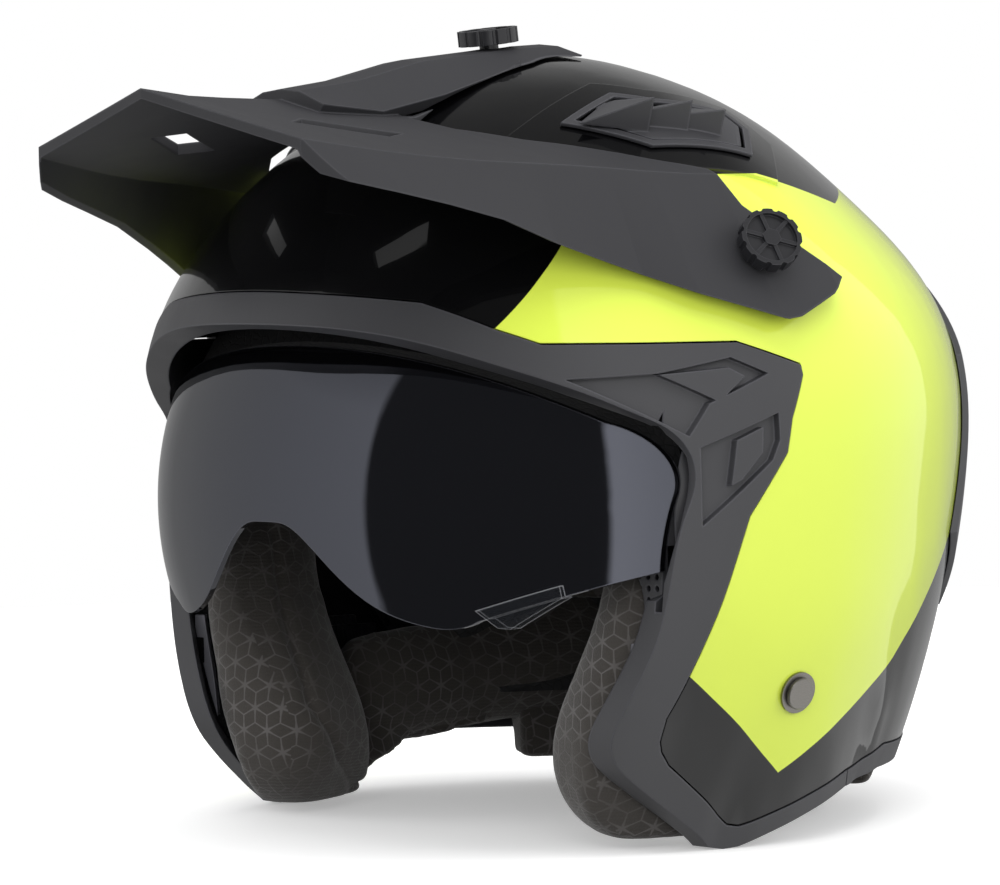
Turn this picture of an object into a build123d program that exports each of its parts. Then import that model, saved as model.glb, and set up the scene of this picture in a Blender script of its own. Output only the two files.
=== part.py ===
from build123d import *
import math
import os

os.makedirs("parts", exist_ok=True)

# Shell form: a rounded block that is flatter behind, drawn in at the neck and flared at the cheeks
shell_half_width = 126.75
shell_front_depth = 128.0
shell_rear_depth = 144.5
crown_rise = 112.0
skirt_drop = 251.0
shell_centre_height = 122.0
taper_depth = 150.0
nape_hollow = 3.3
cheek_flare = 5.5
shell_exponent = 1.78
map_squeeze = 0.85
map_widest_turn = 2.75
half_blend_rate = 3.0
hollow_climb = 33.4
hollow_spread = 17.6
hollow_onset_share = 0.15
hollow_onset_rate = 6.0
flare_turn = 62.0
flare_turn_spread = 28.0
flare_climb = -27.0
flare_climb_spread = 20.0
tiny = 1e-9
side_taper_share = 0.036
rear_taper_share = 0.185
front_taper_share = 0.045

# Walls and gaps, counted outward from the shell's outer form
shell_wall = 4.6
layer_gap = 0.3
trim_proud = 0.4
trim_lip_depth = 7.0
trim_lip_width = 4.0
seam_gap = 0.5
facet_depth = 1.8
running_gap = 0.08
overrun = 30.0
surface_tolerance = 0.02
grid_cells = (32, 30, 34, 28, 36)
dome_foot = -4.0

# Plate across the back
rear_cover_thickness = 2.3
rear_slot_length = 34.0
rear_slot_width = 5.0
rear_slot_pitch = 15.0

# Peak
peak_overhang = 85.0
peak_wall = 3.0
peak_edge_lean = 2.0
peak_clearance = 0.8
peak_tilt = 4.0
spine_half_width = 18.5
spine_ridge_half_width = 8.0
spine_wall = 3.4
slot_travel = 12.4
slot_width = 7.2
slot_shift = 2.6

# Peak screws and their nuts
cap_radius = 9.2
cap_height = 4.6
cap_seat = 0.6
cap_rim = 1.5
cap_recess = 1.3
cap_spoke_width = 1.2
cap_hub_radius = 2.9
cap_notch_radius = 1.0
cap_notch_count = 12
cap_spoke_count = 3
shank_radius = 2.9
side_shank_length = 20.8
top_shank_length = 16.8
screw_hole_radius = 4.0
nut_radius = 6.0
nut_height = 5.0
top_seat = 1.1

# Top vents
vent_length = 62.0
vent_width = 38.0
vent_proud = 2.6
vent_frame_width = 2.4
vent_plate_lift = 1.0
vent_travel = 8.0
vent_gap = 0.4
vent_stages = 6
vent_duct_length = 24.0
vent_duct_width = 8.0
scoop_height = 11.7
scoop_length = 18.0
plateau_rise = 1.2
plateau_margin = 9.0

# Strap rivets and anchors
rivet_head_radius = 4.75
rivet_head_height = 1.4
rivet_ring_radius = 6.2
rivet_ring_height = 0.8
rivet_shank_radius = 2.4
anchor_radius = 7.0
anchor_thickness = 1.5
strap_thickness = 1.8
strap_width = 20.0
strap_reach = 36.0

# Sun visor
visor_radius = 108.8
visor_form_half_width = 125.9
visor_exponent = 1.9
lens_half_width = 109.2
lens_wall = 2.2
lens_swing = 50.0
lens_top_angle = 27.5
lens_low_angle = 18.0
band_angle = 60.0
visor_steps = 16
path_low_margin = 6.0
path_top_margin = 4.0
tab_proud = 1.6
pocket_inner_room = 3.3
pocket_outer_room = 12.0
lip_room = 2.2
side_room = 2.2
arm_face = 104.8
arm_wall = 2.2
arm_reach = 60.0
arm_eye_radius = 8.0
pin_radius = 4.0
pin_head_radius = 6.4
pin_head_height = 2.0
boss_radius = 9.0

# Shock liner and comfort lining
liner_side_inset = 41.0
liner_front_inset = 40.0
liner_rear_inset = 30.0
liner_top_inset = 41.0
lining_thickness = 6.0
liner_front_margin = 4.6
lining_front_margin = 9.0

# Cheek pads, their blocks and the plates beside them
pad_lean = 16.0
pad_corner_share = 0.82
pad_outer_inset = 9.6
pad_tail_thickness = 25.0
block_inner_face = 60.0
receiver_inner_face = 78.0
receiver_outer_face = 98.0
receiver_low = 23.0
receiver_height = 39.0
receiver_thickness = 3.0
notch_face = 94.0
notch_height = 8.0
notch_rise = 24.0
mesh_inner_face = 86.0
mesh_outer_face = 106.0
mesh_low = 66.0
mesh_height = 24.0
mesh_thickness = 1.4
mesh_hole_radius = 0.9
mesh_pitch = 3.4

# Neck roll
roll_arc_radius = 86.6
roll_depth = 24.0
roll_height = 31.0
roll_flat = 0.5
roll_start_angle = 32.6
roll_centre_offset = 9.85
roll_foot_half_width = 28.0
roll_bend_half_width = 48.0
roll_end_rise = 8.0

# Chin strap buckle
buckle_length = 24.0
buckle_height = 26.0
buckle_inner_face = 101.0
buckle_low = 34.0
buckle_rear = 16.5
buckle_ear = 5.0
buckle_ear_wall = 2.4
lever_thickness = 2.4
lever_barrel_radius = 2.3
lever_pin_radius = 1.5
tongue_thickness = 2.4
tongue_height = 12.0
tooth_pitch = 3.0
tooth_depth = 0.9

# The origin lies under the middle of the whole length, from the peak's nose to the rear cover
slot_tip_share = 0.567
peak_reach = slot_tip_share * shell_front_depth + peak_overhang
rear_reach = shell_rear_depth + rear_cover_thickness
shell_centre_y = (peak_reach - rear_reach) / 2

# Outlines in side view: y in shares of the front or rear depth, z of the crown's rise or the centre's height
opening_shares = [(-0.965, 0.299), (-0.848, 0.262), (-0.731, 0.191), (-0.59, 0.108), (-0.512, 0.058),
                  (-0.449, 0.014), (-0.411, -0.041), (-0.402, -0.115), (-0.426, -0.196), (-0.446, -0.286),
                  (-0.473, -0.484), (-0.512, -0.664), (-0.516, -0.712), (-0.5, -0.766), (-0.449, -0.824),
                  (-0.325, -0.926), (-0.246, -0.992)]
opening_front_share = (-1.469, 0.331)
bottom_shares = [(-0.208, -1.0), (-0.176, -0.996), (0.121, -0.879), (0.287, -0.856), (0.494, -0.86),
                 (1.2, -0.86)]
trim_shares = [(-1.384, 0.499), (-0.949, 0.388), (-0.793, 0.348), (-0.709, 0.275), (-0.65, 0.237),
               (-0.478, 0.233), (-0.278, 0.231), (-0.13, 0.168), (-0.129, 0.143), (-0.17, 0.033),
               (-0.186, -0.049), (-0.282, -0.194), (-0.314, -0.296), (-0.395, -0.565), (-0.424, -0.666),
               (-0.425, -0.722), (-0.416, -0.749), (-0.393, -0.783), (-0.243, -0.916), (-0.212, -0.941),
               (-0.186, -0.946), (0.114, -0.839)]
rear_band_shares = [(0.294, -0.799), (0.451, -0.808), (1.2, -0.808)]
foot_share = -1.6
seam_foot_shares = [(0.121, -0.879), (0.135, foot_share), (-1.384, foot_share)]
upper_facet_shares = [(-0.626, 0.148), (-0.458, 0.158), (-0.3, 0.194), (-0.218, 0.15), (-0.361, 0.079),
                      (-0.41, -0.003)]
upper_block_shares = [(-0.457, 0.155), (-0.309, 0.168), (-0.275, 0.145), (-0.34, 0.082)]
lower_facet_shares = [(-0.388, -0.03), (-0.204, 0.049), (-0.204, -0.02), (-0.224, -0.066), (-0.388, -0.214)]
lower_block_shares = [(-0.307, -0.016), (-0.244, 0.014), (-0.248, -0.047), (-0.3, -0.11), (-0.323, -0.122)]
liner_keep_shares = [(-1.4, 1.3), (-1.4, -0.137), (0.047, -0.137), (0.236, -0.616), (0.3, -0.745),
                     (1.3, -0.745), (1.3, 1.3)]
lining_keep_shares = [(-1.4, 1.3), (-1.4, -0.05), (0.1, -0.05), (0.3, -0.5), (1.3, -0.6), (1.3, 1.3)]
block_shares = [(-0.362, -0.29), (-0.42, -0.482), (-0.452, -0.693), (-0.394, -0.81), (-0.2, -0.88),
                (-0.2, -0.29)]
rear_cover_shares = [(-0.47, 0.34), (0.47, 0.34), (0.68, 0.156), (0.758, -0.296), (0.55, -0.5), (-0.55, -0.5),
                     (-0.758, -0.296), (-0.68, 0.156)]

# Places: x in shares of the shell's half width
screw_place_share = (0.911, -0.168, 0.477)
screw_axis = (0.80, -0.37, 0.47)
top_screw_place_share = (0.0, -0.15, 1.021)
top_screw_lean = 7.0
pivot_place_share = (-0.042, -0.193)
rivet_place_share = (0.93, -0.114, -0.624)
rivet_axis = (0.961, -0.103, -0.257)
vent_place_share = (0.528, -0.059, 0.818)
vent_axis = (0.562, -0.107, 0.820)
vent_along = (0.060, 0.994, 0.088)

# Peak rails: y share (ahead of the slot tips a share of the overhang), middle z, crease x and z, edge x and z
front_rail_shares = [(1.035, 0.912, 0.427, 0.787, 0.453, 0.707), (0.788, 0.89, 0.48, 0.756, 0.536, 0.658),
                     (0.635, 0.885, 0.513, 0.738, 0.588, 0.628), (0.471, 0.882, 0.55, 0.722, 0.63, 0.596),
                     (0.282, 0.877, 0.591, 0.708, 0.671, 0.555), (0.094, 0.871, 0.632, 0.699, 0.709, 0.492)]
wing_rail_shares = [(-0.536, 0.871, 0.664, 0.692, 0.751, 0.448), (-0.45, 0.901, 0.692, 0.684, 0.795, 0.408),
                    (-0.356, 0.947, 0.723, 0.674, 0.884, 0.357), (-0.262, 0.999, 0.754, 0.666, 0.939, 0.32),
                    (-0.188, 1.051, 0.775, 0.663, 0.982, 0.29), (-0.082, 1.079, 0.79, 0.659, 1.021, 0.267),
                    (-0.004, 1.098, 0.801, 0.656, 1.049, 0.25), (0.148, 1.143, 0.805, 0.652, 1.057, 0.214)]
spine_rail_shares = [(-0.814, 0.908, 0.864), (-0.628, 0.937, 0.845), (-0.437, 0.986, 0.888),
                     (-0.213, 1.012, 0.959), (-0.147, 1.021, 0.975), (0.016, 1.032, 0.997)]
nose_outline_shares = [(0.0, 1.0), (0.455, 0.895), (0.536, 0.788)]
wing_slot_shares = [(0.158, -0.567), (0.284, -0.536), (0.434, -0.466), (0.655, -0.286), (0.749, -0.184),
                    (0.72, 0.3), (0.146, 0.3), (0.142, -0.45)]
wing_rear_shares = [(-0.184, 1.3), (-0.184, 0.665), (-0.155, 0.581), (0.026, 0.39), (-0.022, 0.348),
                    (-0.14, 0.293), (-0.191, 0.285), (-0.13, -0.1), (0.4, -0.1), (0.4, 1.3)]
plate_window_shares = [(0.244, 0.653), (0.2, 0.547), (0.328, 0.258), (0.367, 0.374)]

# Lens outline in front view: x in shares of its half width, z from the pivot in shares of the form's radius
lens_top_shares = [(0.0, 0.4596), (0.227, 0.4482), (0.453, 0.4115), (0.68, 0.342), (0.868, 0.2527)]
lens_corner_shares = [(0.868, 0.2527), (0.951, 0.2004), (0.992, 0.136), (1.0, 0.0542)]
lens_side_shares = [(1.0, 0.0542), (0.972, -0.1415), (0.598, -0.2665)]
lens_lobe_shares = [(0.598, -0.2665), (0.526, -0.2877), (0.453, -0.2776), (0.3445, -0.2335), (0.2357, -0.1452),
                    (0.145, -0.0579), (0.0725, -0.0138), (0.0, -0.009)]
tab_shares = [(0.609, -0.237), (0.65, -0.283), (0.677, -0.286), (0.8, -0.204), (0.8, -0.17), (0.609, -0.235)]

# Cheek pad sections: height, centre x and y, half thickness, half length
pad_section_shares = [(-0.984, 0.63, -0.207, 0.095, 0.156), (-0.934, 0.617, -0.254, 0.134, 0.188),
                      (-0.754, 0.582, -0.306, 0.162, 0.18), (-0.508, 0.657, -0.314, 0.122, 0.164),
                      (-0.262, 0.686, -0.277, 0.087, 0.125), (-0.2, 0.69, -0.258, 0.05, 0.09)]

# Low tail of a cheek pad under the ear, in side view
pad_tail_shares = [(-0.19, -0.98), (-0.128, -0.972), (-0.011, -0.923), (0.08, -0.893), (0.17, -0.869),
                   (0.288, -0.846), (0.281, -0.754), (0.229, -0.656), (0.19, -0.73), (-0.003, -0.73),
                   (-0.081, -0.721), (-0.19, -0.64)]

# Scoops on the vent slider: length, rear y, outer x, inner x, ridge x, height, in shares of the vent's sizes
scoop_front_share = -0.1
scoop_shares = [(1.0, -0.276, 0.19, -0.34, 0.118, 1.0), (1.7, -0.06, 0.27, -0.2, 0.187, 0.93),
                (2.3, 0.11, 0.36, -0.12, 0.3, 0.79)]
vent_outline_shares = [(-0.239, -0.595), (-0.426, -0.213), (-0.237, -0.037), (-0.134, 0.163), (-0.058, 0.376),
                       (0.189, 0.406), (0.571, 0.218), (0.332, -0.319)]


def place_y(share):
    """Distance along the helmet for a share of the shell's front or rear depth."""
    return shell_centre_y + share * (shell_front_depth if share < 0 else shell_rear_depth)


def place_z(share):
    """Height for a share of the crown's rise, or below the shell's centre of its height."""
    return shell_centre_height + share * (crown_rise if share > 0 else shell_centre_height)


def place(x_share, y_share, z_share):
    """Point in space for shares of the shell's sizes."""
    return Vector(x_share * shell_half_width, place_y(y_share), place_z(z_share))


def side_points(shares):
    """Points of a side view outline, in millimetres."""
    return [(place_y(y), place_z(z)) for y, z in shares]


def beside(points, distance):
    """Outline points moved to the left of the way the outline runs."""
    moved = []
    for i, (y, z) in enumerate(points):
        before = points[max(i - 1, 0)]
        after = points[min(i + 1, len(points) - 1)]
        run_y = after[0] - before[0]
        run_z = after[1] - before[1]
        run = math.hypot(run_y, run_z)
        moved.append((y - distance * run_z / run, z + distance * run_y / run))
    return moved


def prism(face, plane=Plane.YZ):
    """Cutter with the given profile, which runs through the whole helmet."""
    return extrude(plane * face, amount=2 * shell_half_width, both=True)


def polygon(points):
    """Flat face with straight edges."""
    return make_face(Polyline(*points, close=True).edges())


def side_prism(points):
    """Cutter across the helmet from side view points."""
    return prism(polygon(points))


def unit_way(across, along):
    """Direction from the shell's centre for a place on a square map of the dome."""
    a = across * math.sqrt(1 - map_squeeze * along * along / 2)
    b = along * math.sqrt(1 - map_squeeze * across * across / 2)
    out = math.hypot(a, b)
    if out < tiny:
        return 0.0, 0.0, 1.0
    turn = map_widest_turn * out
    return math.sin(turn) * a / out, math.sin(turn) * b / out, math.cos(turn)


def form_radius(way):
    """Distance of the shell's outer form from its centre in one direction."""
    x, y, z = way
    rear = 0.5 + 0.5 * math.tanh(half_blend_rate * y)
    crown = 0.5 + 0.5 * math.tanh(half_blend_rate * z)
    depth = shell_front_depth * (1 - rear) + shell_rear_depth * rear
    height = skirt_drop * (1 - crown) + crown_rise * crown
    power = shell_exponent
    total = abs(x / shell_half_width) ** power + abs(y / depth) ** power + abs(z / height) ** power
    block = total ** (-1 / power)
    climb = math.degrees(math.asin(max(-1, min(1, z))))
    turn = math.degrees(math.atan2(abs(x), -y))
    behind = 1 / (1 + math.exp(-hollow_onset_rate * (y / (math.hypot(x, y) + tiny) - hollow_onset_share)))
    hollow = nape_hollow * math.exp(-(((climb - hollow_climb) / hollow_spread) ** 2)) * behind
    turn_part = ((turn - flare_turn) / flare_turn_spread) ** 2
    climb_part = ((climb - flare_climb) / flare_climb_spread) ** 2
    flare = cheek_flare * math.exp(-turn_part - climb_part)
    return block - hollow + flare


def form_point(across, along, insets):
    """Point on a layer of the helmet, inset by amounts for the side, front, rear and top."""
    x, y, z = unit_way(across, along)
    side, front, rear, top = insets
    behind = 0.5 + 0.5 * math.tanh(half_blend_rate * y)
    inset = side * x * x + (front * (1 - behind) + rear * behind) * y * y + top * z * z
    reach = form_radius((x, y, z)) - inset
    x, y, z = reach * x, reach * y, reach * z
    sunk = min(max(-z / taper_depth, 0), 2)
    x *= 1 - side_taper_share * sunk * sunk
    y *= 1 - (rear_taper_share if y > 0 else front_taper_share) * sunk * sunk
    return Vector(x, y + shell_centre_y, z + shell_centre_height)


def make_dome(insets):
    """Solid under one layer, cut flat at its foot, on the first grid that parts the block in two."""
    room = Pos(0, 0, dome_foot) * Box(4 * shell_half_width, 4 * shell_rear_depth, 3 * shell_rear_depth,
                                 align=(Align.CENTER, Align.CENTER, Align.MIN))
    for cells in grid_cells:
        steps = [-1 + 2 * i / cells for i in range(cells + 1)]
        grid = [[form_point(a, b, insets) for b in steps] for a in steps]
        skin = Face.make_surface_from_array_of_points(grid, tol=surface_tolerance)
        pieces = room.split(skin, keep=Keep.ALL).solids()
        if len(pieces) == 2:
            break
    return min(pieces, key=lambda piece: piece.volume)


domes = {}


def dome(proud):
    """Solid under the layer that stands proud of the shell's outer form by this much."""
    insets = (-proud,) * 4
    if insets not in domes:
        domes[insets] = make_dome(insets)
    return domes[insets]


def liner_dome(deeper):
    """Solid under the shock liner's inner face, or deeper."""
    return make_dome((liner_side_inset + deeper, liner_front_inset + deeper, liner_rear_inset + deeper,
                      liner_top_inset + deeper))


def both_sides(shape):
    """The shape and its mirror image across the middle."""
    return shape + mirror(shape, about=Plane.YZ)


def save(shape, name):
    """Write one node."""
    export_step(shape, f"parts/{name}.step")


def save_pair(shape, name):
    """Write the wearer's left piece and its mirror image on the right."""
    save(shape, f"left_{name}")
    save(mirror(shape, about=Plane.YZ), f"right_{name}")


def facing(origin, axis, along=None):
    """Plane whose normal is the axis, with its own y direction as near as can be to the given one."""
    normal = Vector(*axis).normalized()
    guide = Vector(*(along or (0, 1, 0)))
    return Plane(origin=origin, x_dir=guide.cross(normal).normalized(), z_dir=normal)


def rod(plane, radius, low, high):
    """Cylinder along a plane's normal between two heights over the plane."""
    return plane * Pos(0, 0, low) * Cylinder(radius, high - low, align=(Align.CENTER, Align.CENTER, Align.MIN))


def opening_face(margin):
    """Side view face of the eyeport and all that lies ahead of it, widened by a margin."""
    edge = beside(side_points(opening_shares), margin)
    front = (place_y(opening_front_share[0]), place_z(opening_front_share[1]) + margin)
    foot = place_z(foot_share)
    curve = Spline(*edge)
    rest = Polyline((edge[-1][0], edge[-1][1]), (edge[-1][0], foot), (front[0], foot), front, edge[0])
    return make_face(curve.edges() + rest.edges())


def mouth_face():
    """Side view face of the eyeport and all that lies below the bottom edge."""
    edge = side_points(opening_shares)
    front = side_points([opening_front_share])[0]
    foot = place_z(foot_share)
    low = side_points(bottom_shares)
    rest = Polyline(edge[-1], *low, (low[-1][0], foot), (front[0], foot), front, edge[0])
    return make_face(Spline(*edge).edges() + rest.edges())


# Frames of the screws, the vents, the rivets and the visor's pivot
screw_plane = facing(place(*screw_place_share), screw_axis)
top_axis = (0, -math.sin(math.radians(top_screw_lean)), math.cos(math.radians(top_screw_lean)))
top_plane = facing(place(*top_screw_place_share), top_axis)
vent_plane = facing(place(*vent_place_share), vent_axis, vent_along)
rivet_plane = facing(place(*rivet_place_share), rivet_axis)
pivot_y = place_y(pivot_place_share[0])
pivot_z = place_z(pivot_place_share[1])
pivot_plane = Plane(origin=(0, pivot_y, pivot_z), x_dir=(0, 1, 0), z_dir=(1, 0, 0))


def vent_face(margin):
    """Vent outline in its own plane, widened by a margin."""
    points = [(x * vent_width, y * vent_length) for x, y in vent_outline_shares]
    face = polygon(points)
    return offset(face, amount=margin, kind=Kind.INTERSECTION) if margin else face


def vent_prism(margin, shift=0.0):
    """Cutter through the vent outline, shifted along the slider's way."""
    face = Pos(0, shift, 0) * vent_face(margin)
    return extrude(vent_plane * face, amount=overrun, both=True)


def visor_form(x, gap):
    """Radius of the visor's form about its pivots, at a distance from the middle."""
    power = visor_exponent
    return visor_radius * (1 - (abs(x) / visor_form_half_width) ** power) ** (1 / power) + gap


def visor_band(inner_gap, outer_gap, half_width, low_angle, high_angle):
    """Ring sector about the pivots between two gaps from the visor's form."""
    places = [half_width * (2 * i / visor_steps - 1) for i in range(visor_steps + 1)]
    outer = [(x, visor_form(x, outer_gap)) for x in places]
    inner = [(x, visor_form(x, inner_gap)) for x in places]
    edges = Spline(*outer).edges() + Spline(*inner).edges()
    edges += Line(outer[0], inner[0]).edges() + Line(outer[-1], inner[-1]).edges()
    low = math.radians(low_angle)
    start = Plane(origin=(0, pivot_y, pivot_z), x_dir=(1, 0, 0), z_dir=(0, -math.sin(low), -math.cos(low)))
    axis = Axis((0, pivot_y, pivot_z), (-1, 0, 0))
    return revolve(start * make_face(edges), axis=axis, revolution_arc=high_angle - low_angle)


def whole_band(inner_gap, outer_gap):
    """Ring sector that is wider and taller than the lens."""
    return visor_band(inner_gap, outer_gap, lens_half_width + side_room, -band_angle, band_angle)


def front_points(shares):
    """Points of a front view outline of the lens, in millimetres."""
    return [(x * lens_half_width, pivot_z + z * visor_radius) for x, z in shares]


def flipped(points):
    """The same outline on the other side of the middle, run the other way."""
    return [(-x, z) for x, z in reversed(points)]


def lens_prism():
    """Cutter with the lens outline, along the helmet and ahead of the pivots."""
    top = front_points(lens_top_shares)
    corner = front_points(lens_corner_shares)
    side = front_points(lens_side_shares)
    lobe = front_points(lens_lobe_shares)
    edges = Spline(*flipped(top)[:-1], *top).edges() + Spline(*lobe[:-1], *flipped(lobe)).edges()
    for points in (corner, flipped(corner)):
        edges += Spline(*points).edges()
    for points in (side, flipped(side)):
        edges += Polyline(*points).edges()
    face = Plane(origin=(0, pivot_y, 0), x_dir=(1, 0, 0), z_dir=(0, -1, 0)) * make_face(edges)
    return extrude(face, amount=2 * visor_radius)


def pad_solid(extra):
    """Cheek pad body as a loft through its level sections, grown by a gap."""
    sections = []
    for height, x, y, half_thickness, half_length in pad_section_shares:
        thickness = 2 * (half_thickness * shell_half_width + extra)
        length = 2 * (half_length * shell_front_depth + extra)
        corner = pad_corner_share * thickness / 2
        centre = place(x, y, height)
        sections.append(Pos(*centre) * Rot(0, 0, -pad_lean) * RectangleRounded(thickness, length, corner))
    return loft(sections)


# Cutters that several pieces share
mouth = prism(mouth_face())
trim_points = side_points(trim_shares)
foot_points = side_points(seam_foot_shares)
band_points = side_points(rear_band_shares)
pivot_boss = rod(pivot_plane, boss_radius + layer_gap, arm_face + arm_wall + layer_gap, shell_half_width)
path_low_angle = -lens_low_angle - path_low_margin
path_top_angle = lens_top_angle + lens_swing + path_top_margin
visor_path = visor_band(-lens_wall - pocket_inner_room, pocket_outer_room, lens_half_width + side_room,
                        path_low_angle, path_top_angle)
lip_path = visor_band(-lens_wall - pocket_inner_room, lip_room, lens_half_width + side_room,
                      path_low_angle, path_top_angle)
arm_path = rod(pivot_plane, arm_reach, arm_face - layer_gap, arm_face + arm_wall + layer_gap)
pad_room = pad_solid(layer_gap)


def outer_shell():
    """Moulded shell, above the face trim and the neck trim."""
    layer = dome(0) + (dome(plateau_rise) & both_sides(vent_prism(plateau_margin)))
    layer = layer - dome(-shell_wall)
    clear = beside(trim_points, seam_gap)
    band = beside(band_points, seam_gap)
    layer -= side_prism(clear + band + [(band[-1][0], foot_points[-1][1]), (clear[0][0], foot_points[-1][1])])
    layer -= both_sides(rod(screw_plane, shank_radius + layer_gap, -overrun, overrun))
    layer -= rod(top_plane, shank_radius + layer_gap, -overrun, overrun)
    layer -= both_sides(rod(rivet_plane, rivet_shank_radius + running_gap, -overrun, overrun))
    duct = Rot(0, 0, 90) * SlotOverall(vent_duct_length, vent_duct_width)
    return layer - both_sides(extrude(vent_plane * duct, amount=overrun, both=True))


def face_trim():
    """One moulding round the eyeport and down both jaws, with an inward lip and sunken facets."""
    core = dome(-shell_wall) - prism(opening_face(trim_lip_width))
    trim = (dome(trim_proud) & side_prism(trim_points + foot_points)) - mouth - core - dome(-trim_lip_depth)
    trim -= lip_path + both_sides(arm_path)
    under = dome(-facet_depth)
    for facet, block in ((upper_facet_shares, upper_block_shares), (lower_facet_shares, lower_block_shares)):
        trim -= side_prism(side_points(facet)) - side_prism(side_points(block)) - under
    return max(trim.solids(), key=lambda piece: piece.area)


def neck_trim():
    """Rear length of bottom edge trim, behind the seams on both sides."""
    seam_top = side_points([trim_shares[-1]])[0]
    seam_low = side_points(bottom_shares[2:])
    points = [(seam_top[0] + seam_gap, seam_top[1])] + band_points + seam_low[::-1]
    points[-1] = (seam_low[0][0] + seam_gap, seam_low[0][1])
    return (dome(trim_proud) - dome(-shell_wall)) & side_prism(points)


def rear_vent_cover():
    """Black plate across the back with three exhaust slots."""
    points = [(x * shell_half_width, place_z(z)) for x, z in rear_cover_shares]
    back = Plane(origin=(0, shell_centre_y, 0), x_dir=(1, 0, 0), z_dir=(0, -1, 0))
    outline = extrude(back * polygon(points), amount=-2 * shell_rear_depth)
    cover = (dome(rear_cover_thickness) - dome(layer_gap)) & outline
    slot = SlotOverall(rear_slot_length, rear_slot_width)
    slots = Sketch() + [Pos(0, place_z(0) + k * rear_slot_pitch) * slot for k in (-1, 0, 1)]
    return cover - extrude(back * slots, amount=-2 * shell_rear_depth)


def eps_liner():
    """Shock liner with the visor's pocket, the arm slots, nut pockets and vent ducts."""
    liner = dome(-shell_wall - layer_gap) & side_prism(side_points(liner_keep_shares))
    liner -= liner_dome(0)
    liner -= prism(opening_face(liner_front_margin))
    liner -= visor_path
    liner -= both_sides(arm_path)
    liner -= both_sides(pivot_boss)
    room = nut_radius + layer_gap
    liner -= both_sides(rod(screw_plane, room, cap_seat - side_shank_length - layer_gap, 0))
    liner -= rod(top_plane, room, top_seat - top_shank_length - layer_gap, 0)
    duct = rod(vent_plane, vent_duct_width / 2, -2 * liner_top_inset, overrun)
    return liner - both_sides(duct)


def crown_liner():
    """Soft comfort lining inside the shock liner's crown."""
    lining = liner_dome(layer_gap) & side_prism(side_points(lining_keep_shares))
    lining -= prism(opening_face(lining_front_margin))
    return lining - liner_dome(layer_gap + lining_thickness)


def rail_point(share, ahead):
    """Distance along the helmet of a peak station."""
    if ahead:
        return place_y(-slot_tip_share) - share * peak_overhang
    return place_y(share)


def plate_section(y, middle, crease_x, crease_z, edge_x, edge_z):
    """Cross section of the peak's plate: two facets on each side of the middle, in one wall."""
    top = [(0, place_z(middle)), (crease_x * shell_half_width, place_z(crease_z)),
           (edge_x * shell_half_width, place_z(edge_z))]
    under = [(0, top[0][1] - peak_wall), (top[1][0] - peak_wall / 2, top[1][1] - peak_wall),
             (top[2][0] - peak_edge_lean - peak_wall / 2, top[2][1] + peak_wall / 3)]
    right = top + under[::-1]
    left = [(-x, z) for x, z in under[1:]] + [(-x, z) for x, z in top[:0:-1]]
    plane = Plane(origin=(0, y, 0), x_dir=(1, 0, 0), z_dir=(0, -1, 0))
    return plane * polygon(right + left)


def spine_section(y, ridge, shoulder):
    """Cross section of the spine over the crown."""
    high = place_z(ridge)
    low = place_z(shoulder)
    half = [(spine_ridge_half_width, high - peak_clearance), (spine_half_width, low),
            (spine_half_width - peak_wall, low - spine_wall)]
    points = [(0, high)] + half + [(-x, z) for x, z in half[::-1]]
    plane = Plane(origin=(0, y, 0), x_dir=(1, 0, 0), z_dir=(0, -1, 0))
    return plane * polygon(points)


def peak():
    """Front plate, wings and spine in one moulding, clear of the shell over its whole tilt."""
    sections = [plate_section(rail_point(row[0], True), *row[1:]) for row in front_rail_shares]
    sections += [plate_section(rail_point(row[0], False), *row[1:]) for row in wing_rail_shares]
    plate = loft(sections, ruled=True)
    tip = place_y(-slot_tip_share)
    nose = [(x * shell_half_width, tip - y * peak_overhang) for x, y in nose_outline_shares]
    ahead = nose[0][1] - overrun
    side = 2 * shell_half_width
    front = nose + [(side, nose[-1][1]), (side, ahead), (-side, ahead), (-side, nose[-1][1])]
    front += [(-x, y) for x, y in nose[:0:-1]]
    plate -= prism(polygon(front), Plane.XY)
    slot = [(x * shell_half_width, place_y(y)) for x, y in wing_slot_shares]
    middle = [(-x, y) for x, y in slot[::-1]]
    rear_edge = place_y(wing_slot_shares[-2][1])
    plate -= prism(polygon(slot), Plane.XY) + prism(polygon(middle), Plane.XY)
    spine_cut = [(slot[-1][0], tip), (slot[-1][0], rear_edge), (-slot[-1][0], rear_edge), (-slot[-1][0], tip)]
    plate -= prism(polygon(spine_cut), Plane.XY)
    plate -= side_prism(side_points(wing_rear_shares))
    window = [(x * shell_half_width, tip - y * peak_overhang) for x, y in plate_window_shares]
    plate -= both_sides(prism(polygon(window), Plane.XY))
    ribs = [spine_section(place_y(y), ridge, shoulder) for y, ridge, shoulder in spine_rail_shares]
    whole = plate + loft(ribs, ruled=True)
    tilt_axis = Axis(screw_plane.origin, (1, 0, 0))
    clear = dome(peak_clearance)
    whole -= clear
    whole -= clear.rotate(tilt_axis, -peak_tilt)
    whole -= both_sides(rod(screw_plane, screw_hole_radius, -side_shank_length, side_shank_length))
    slot_face = Pos(0, slot_shift, 0) * Rot(0, 0, 90) * SlotOverall(slot_travel, slot_width)
    whole -= extrude(top_plane * slot_face, amount=top_shank_length, both=True)
    return max(whole.solids(), key=lambda piece: piece.volume)


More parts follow.
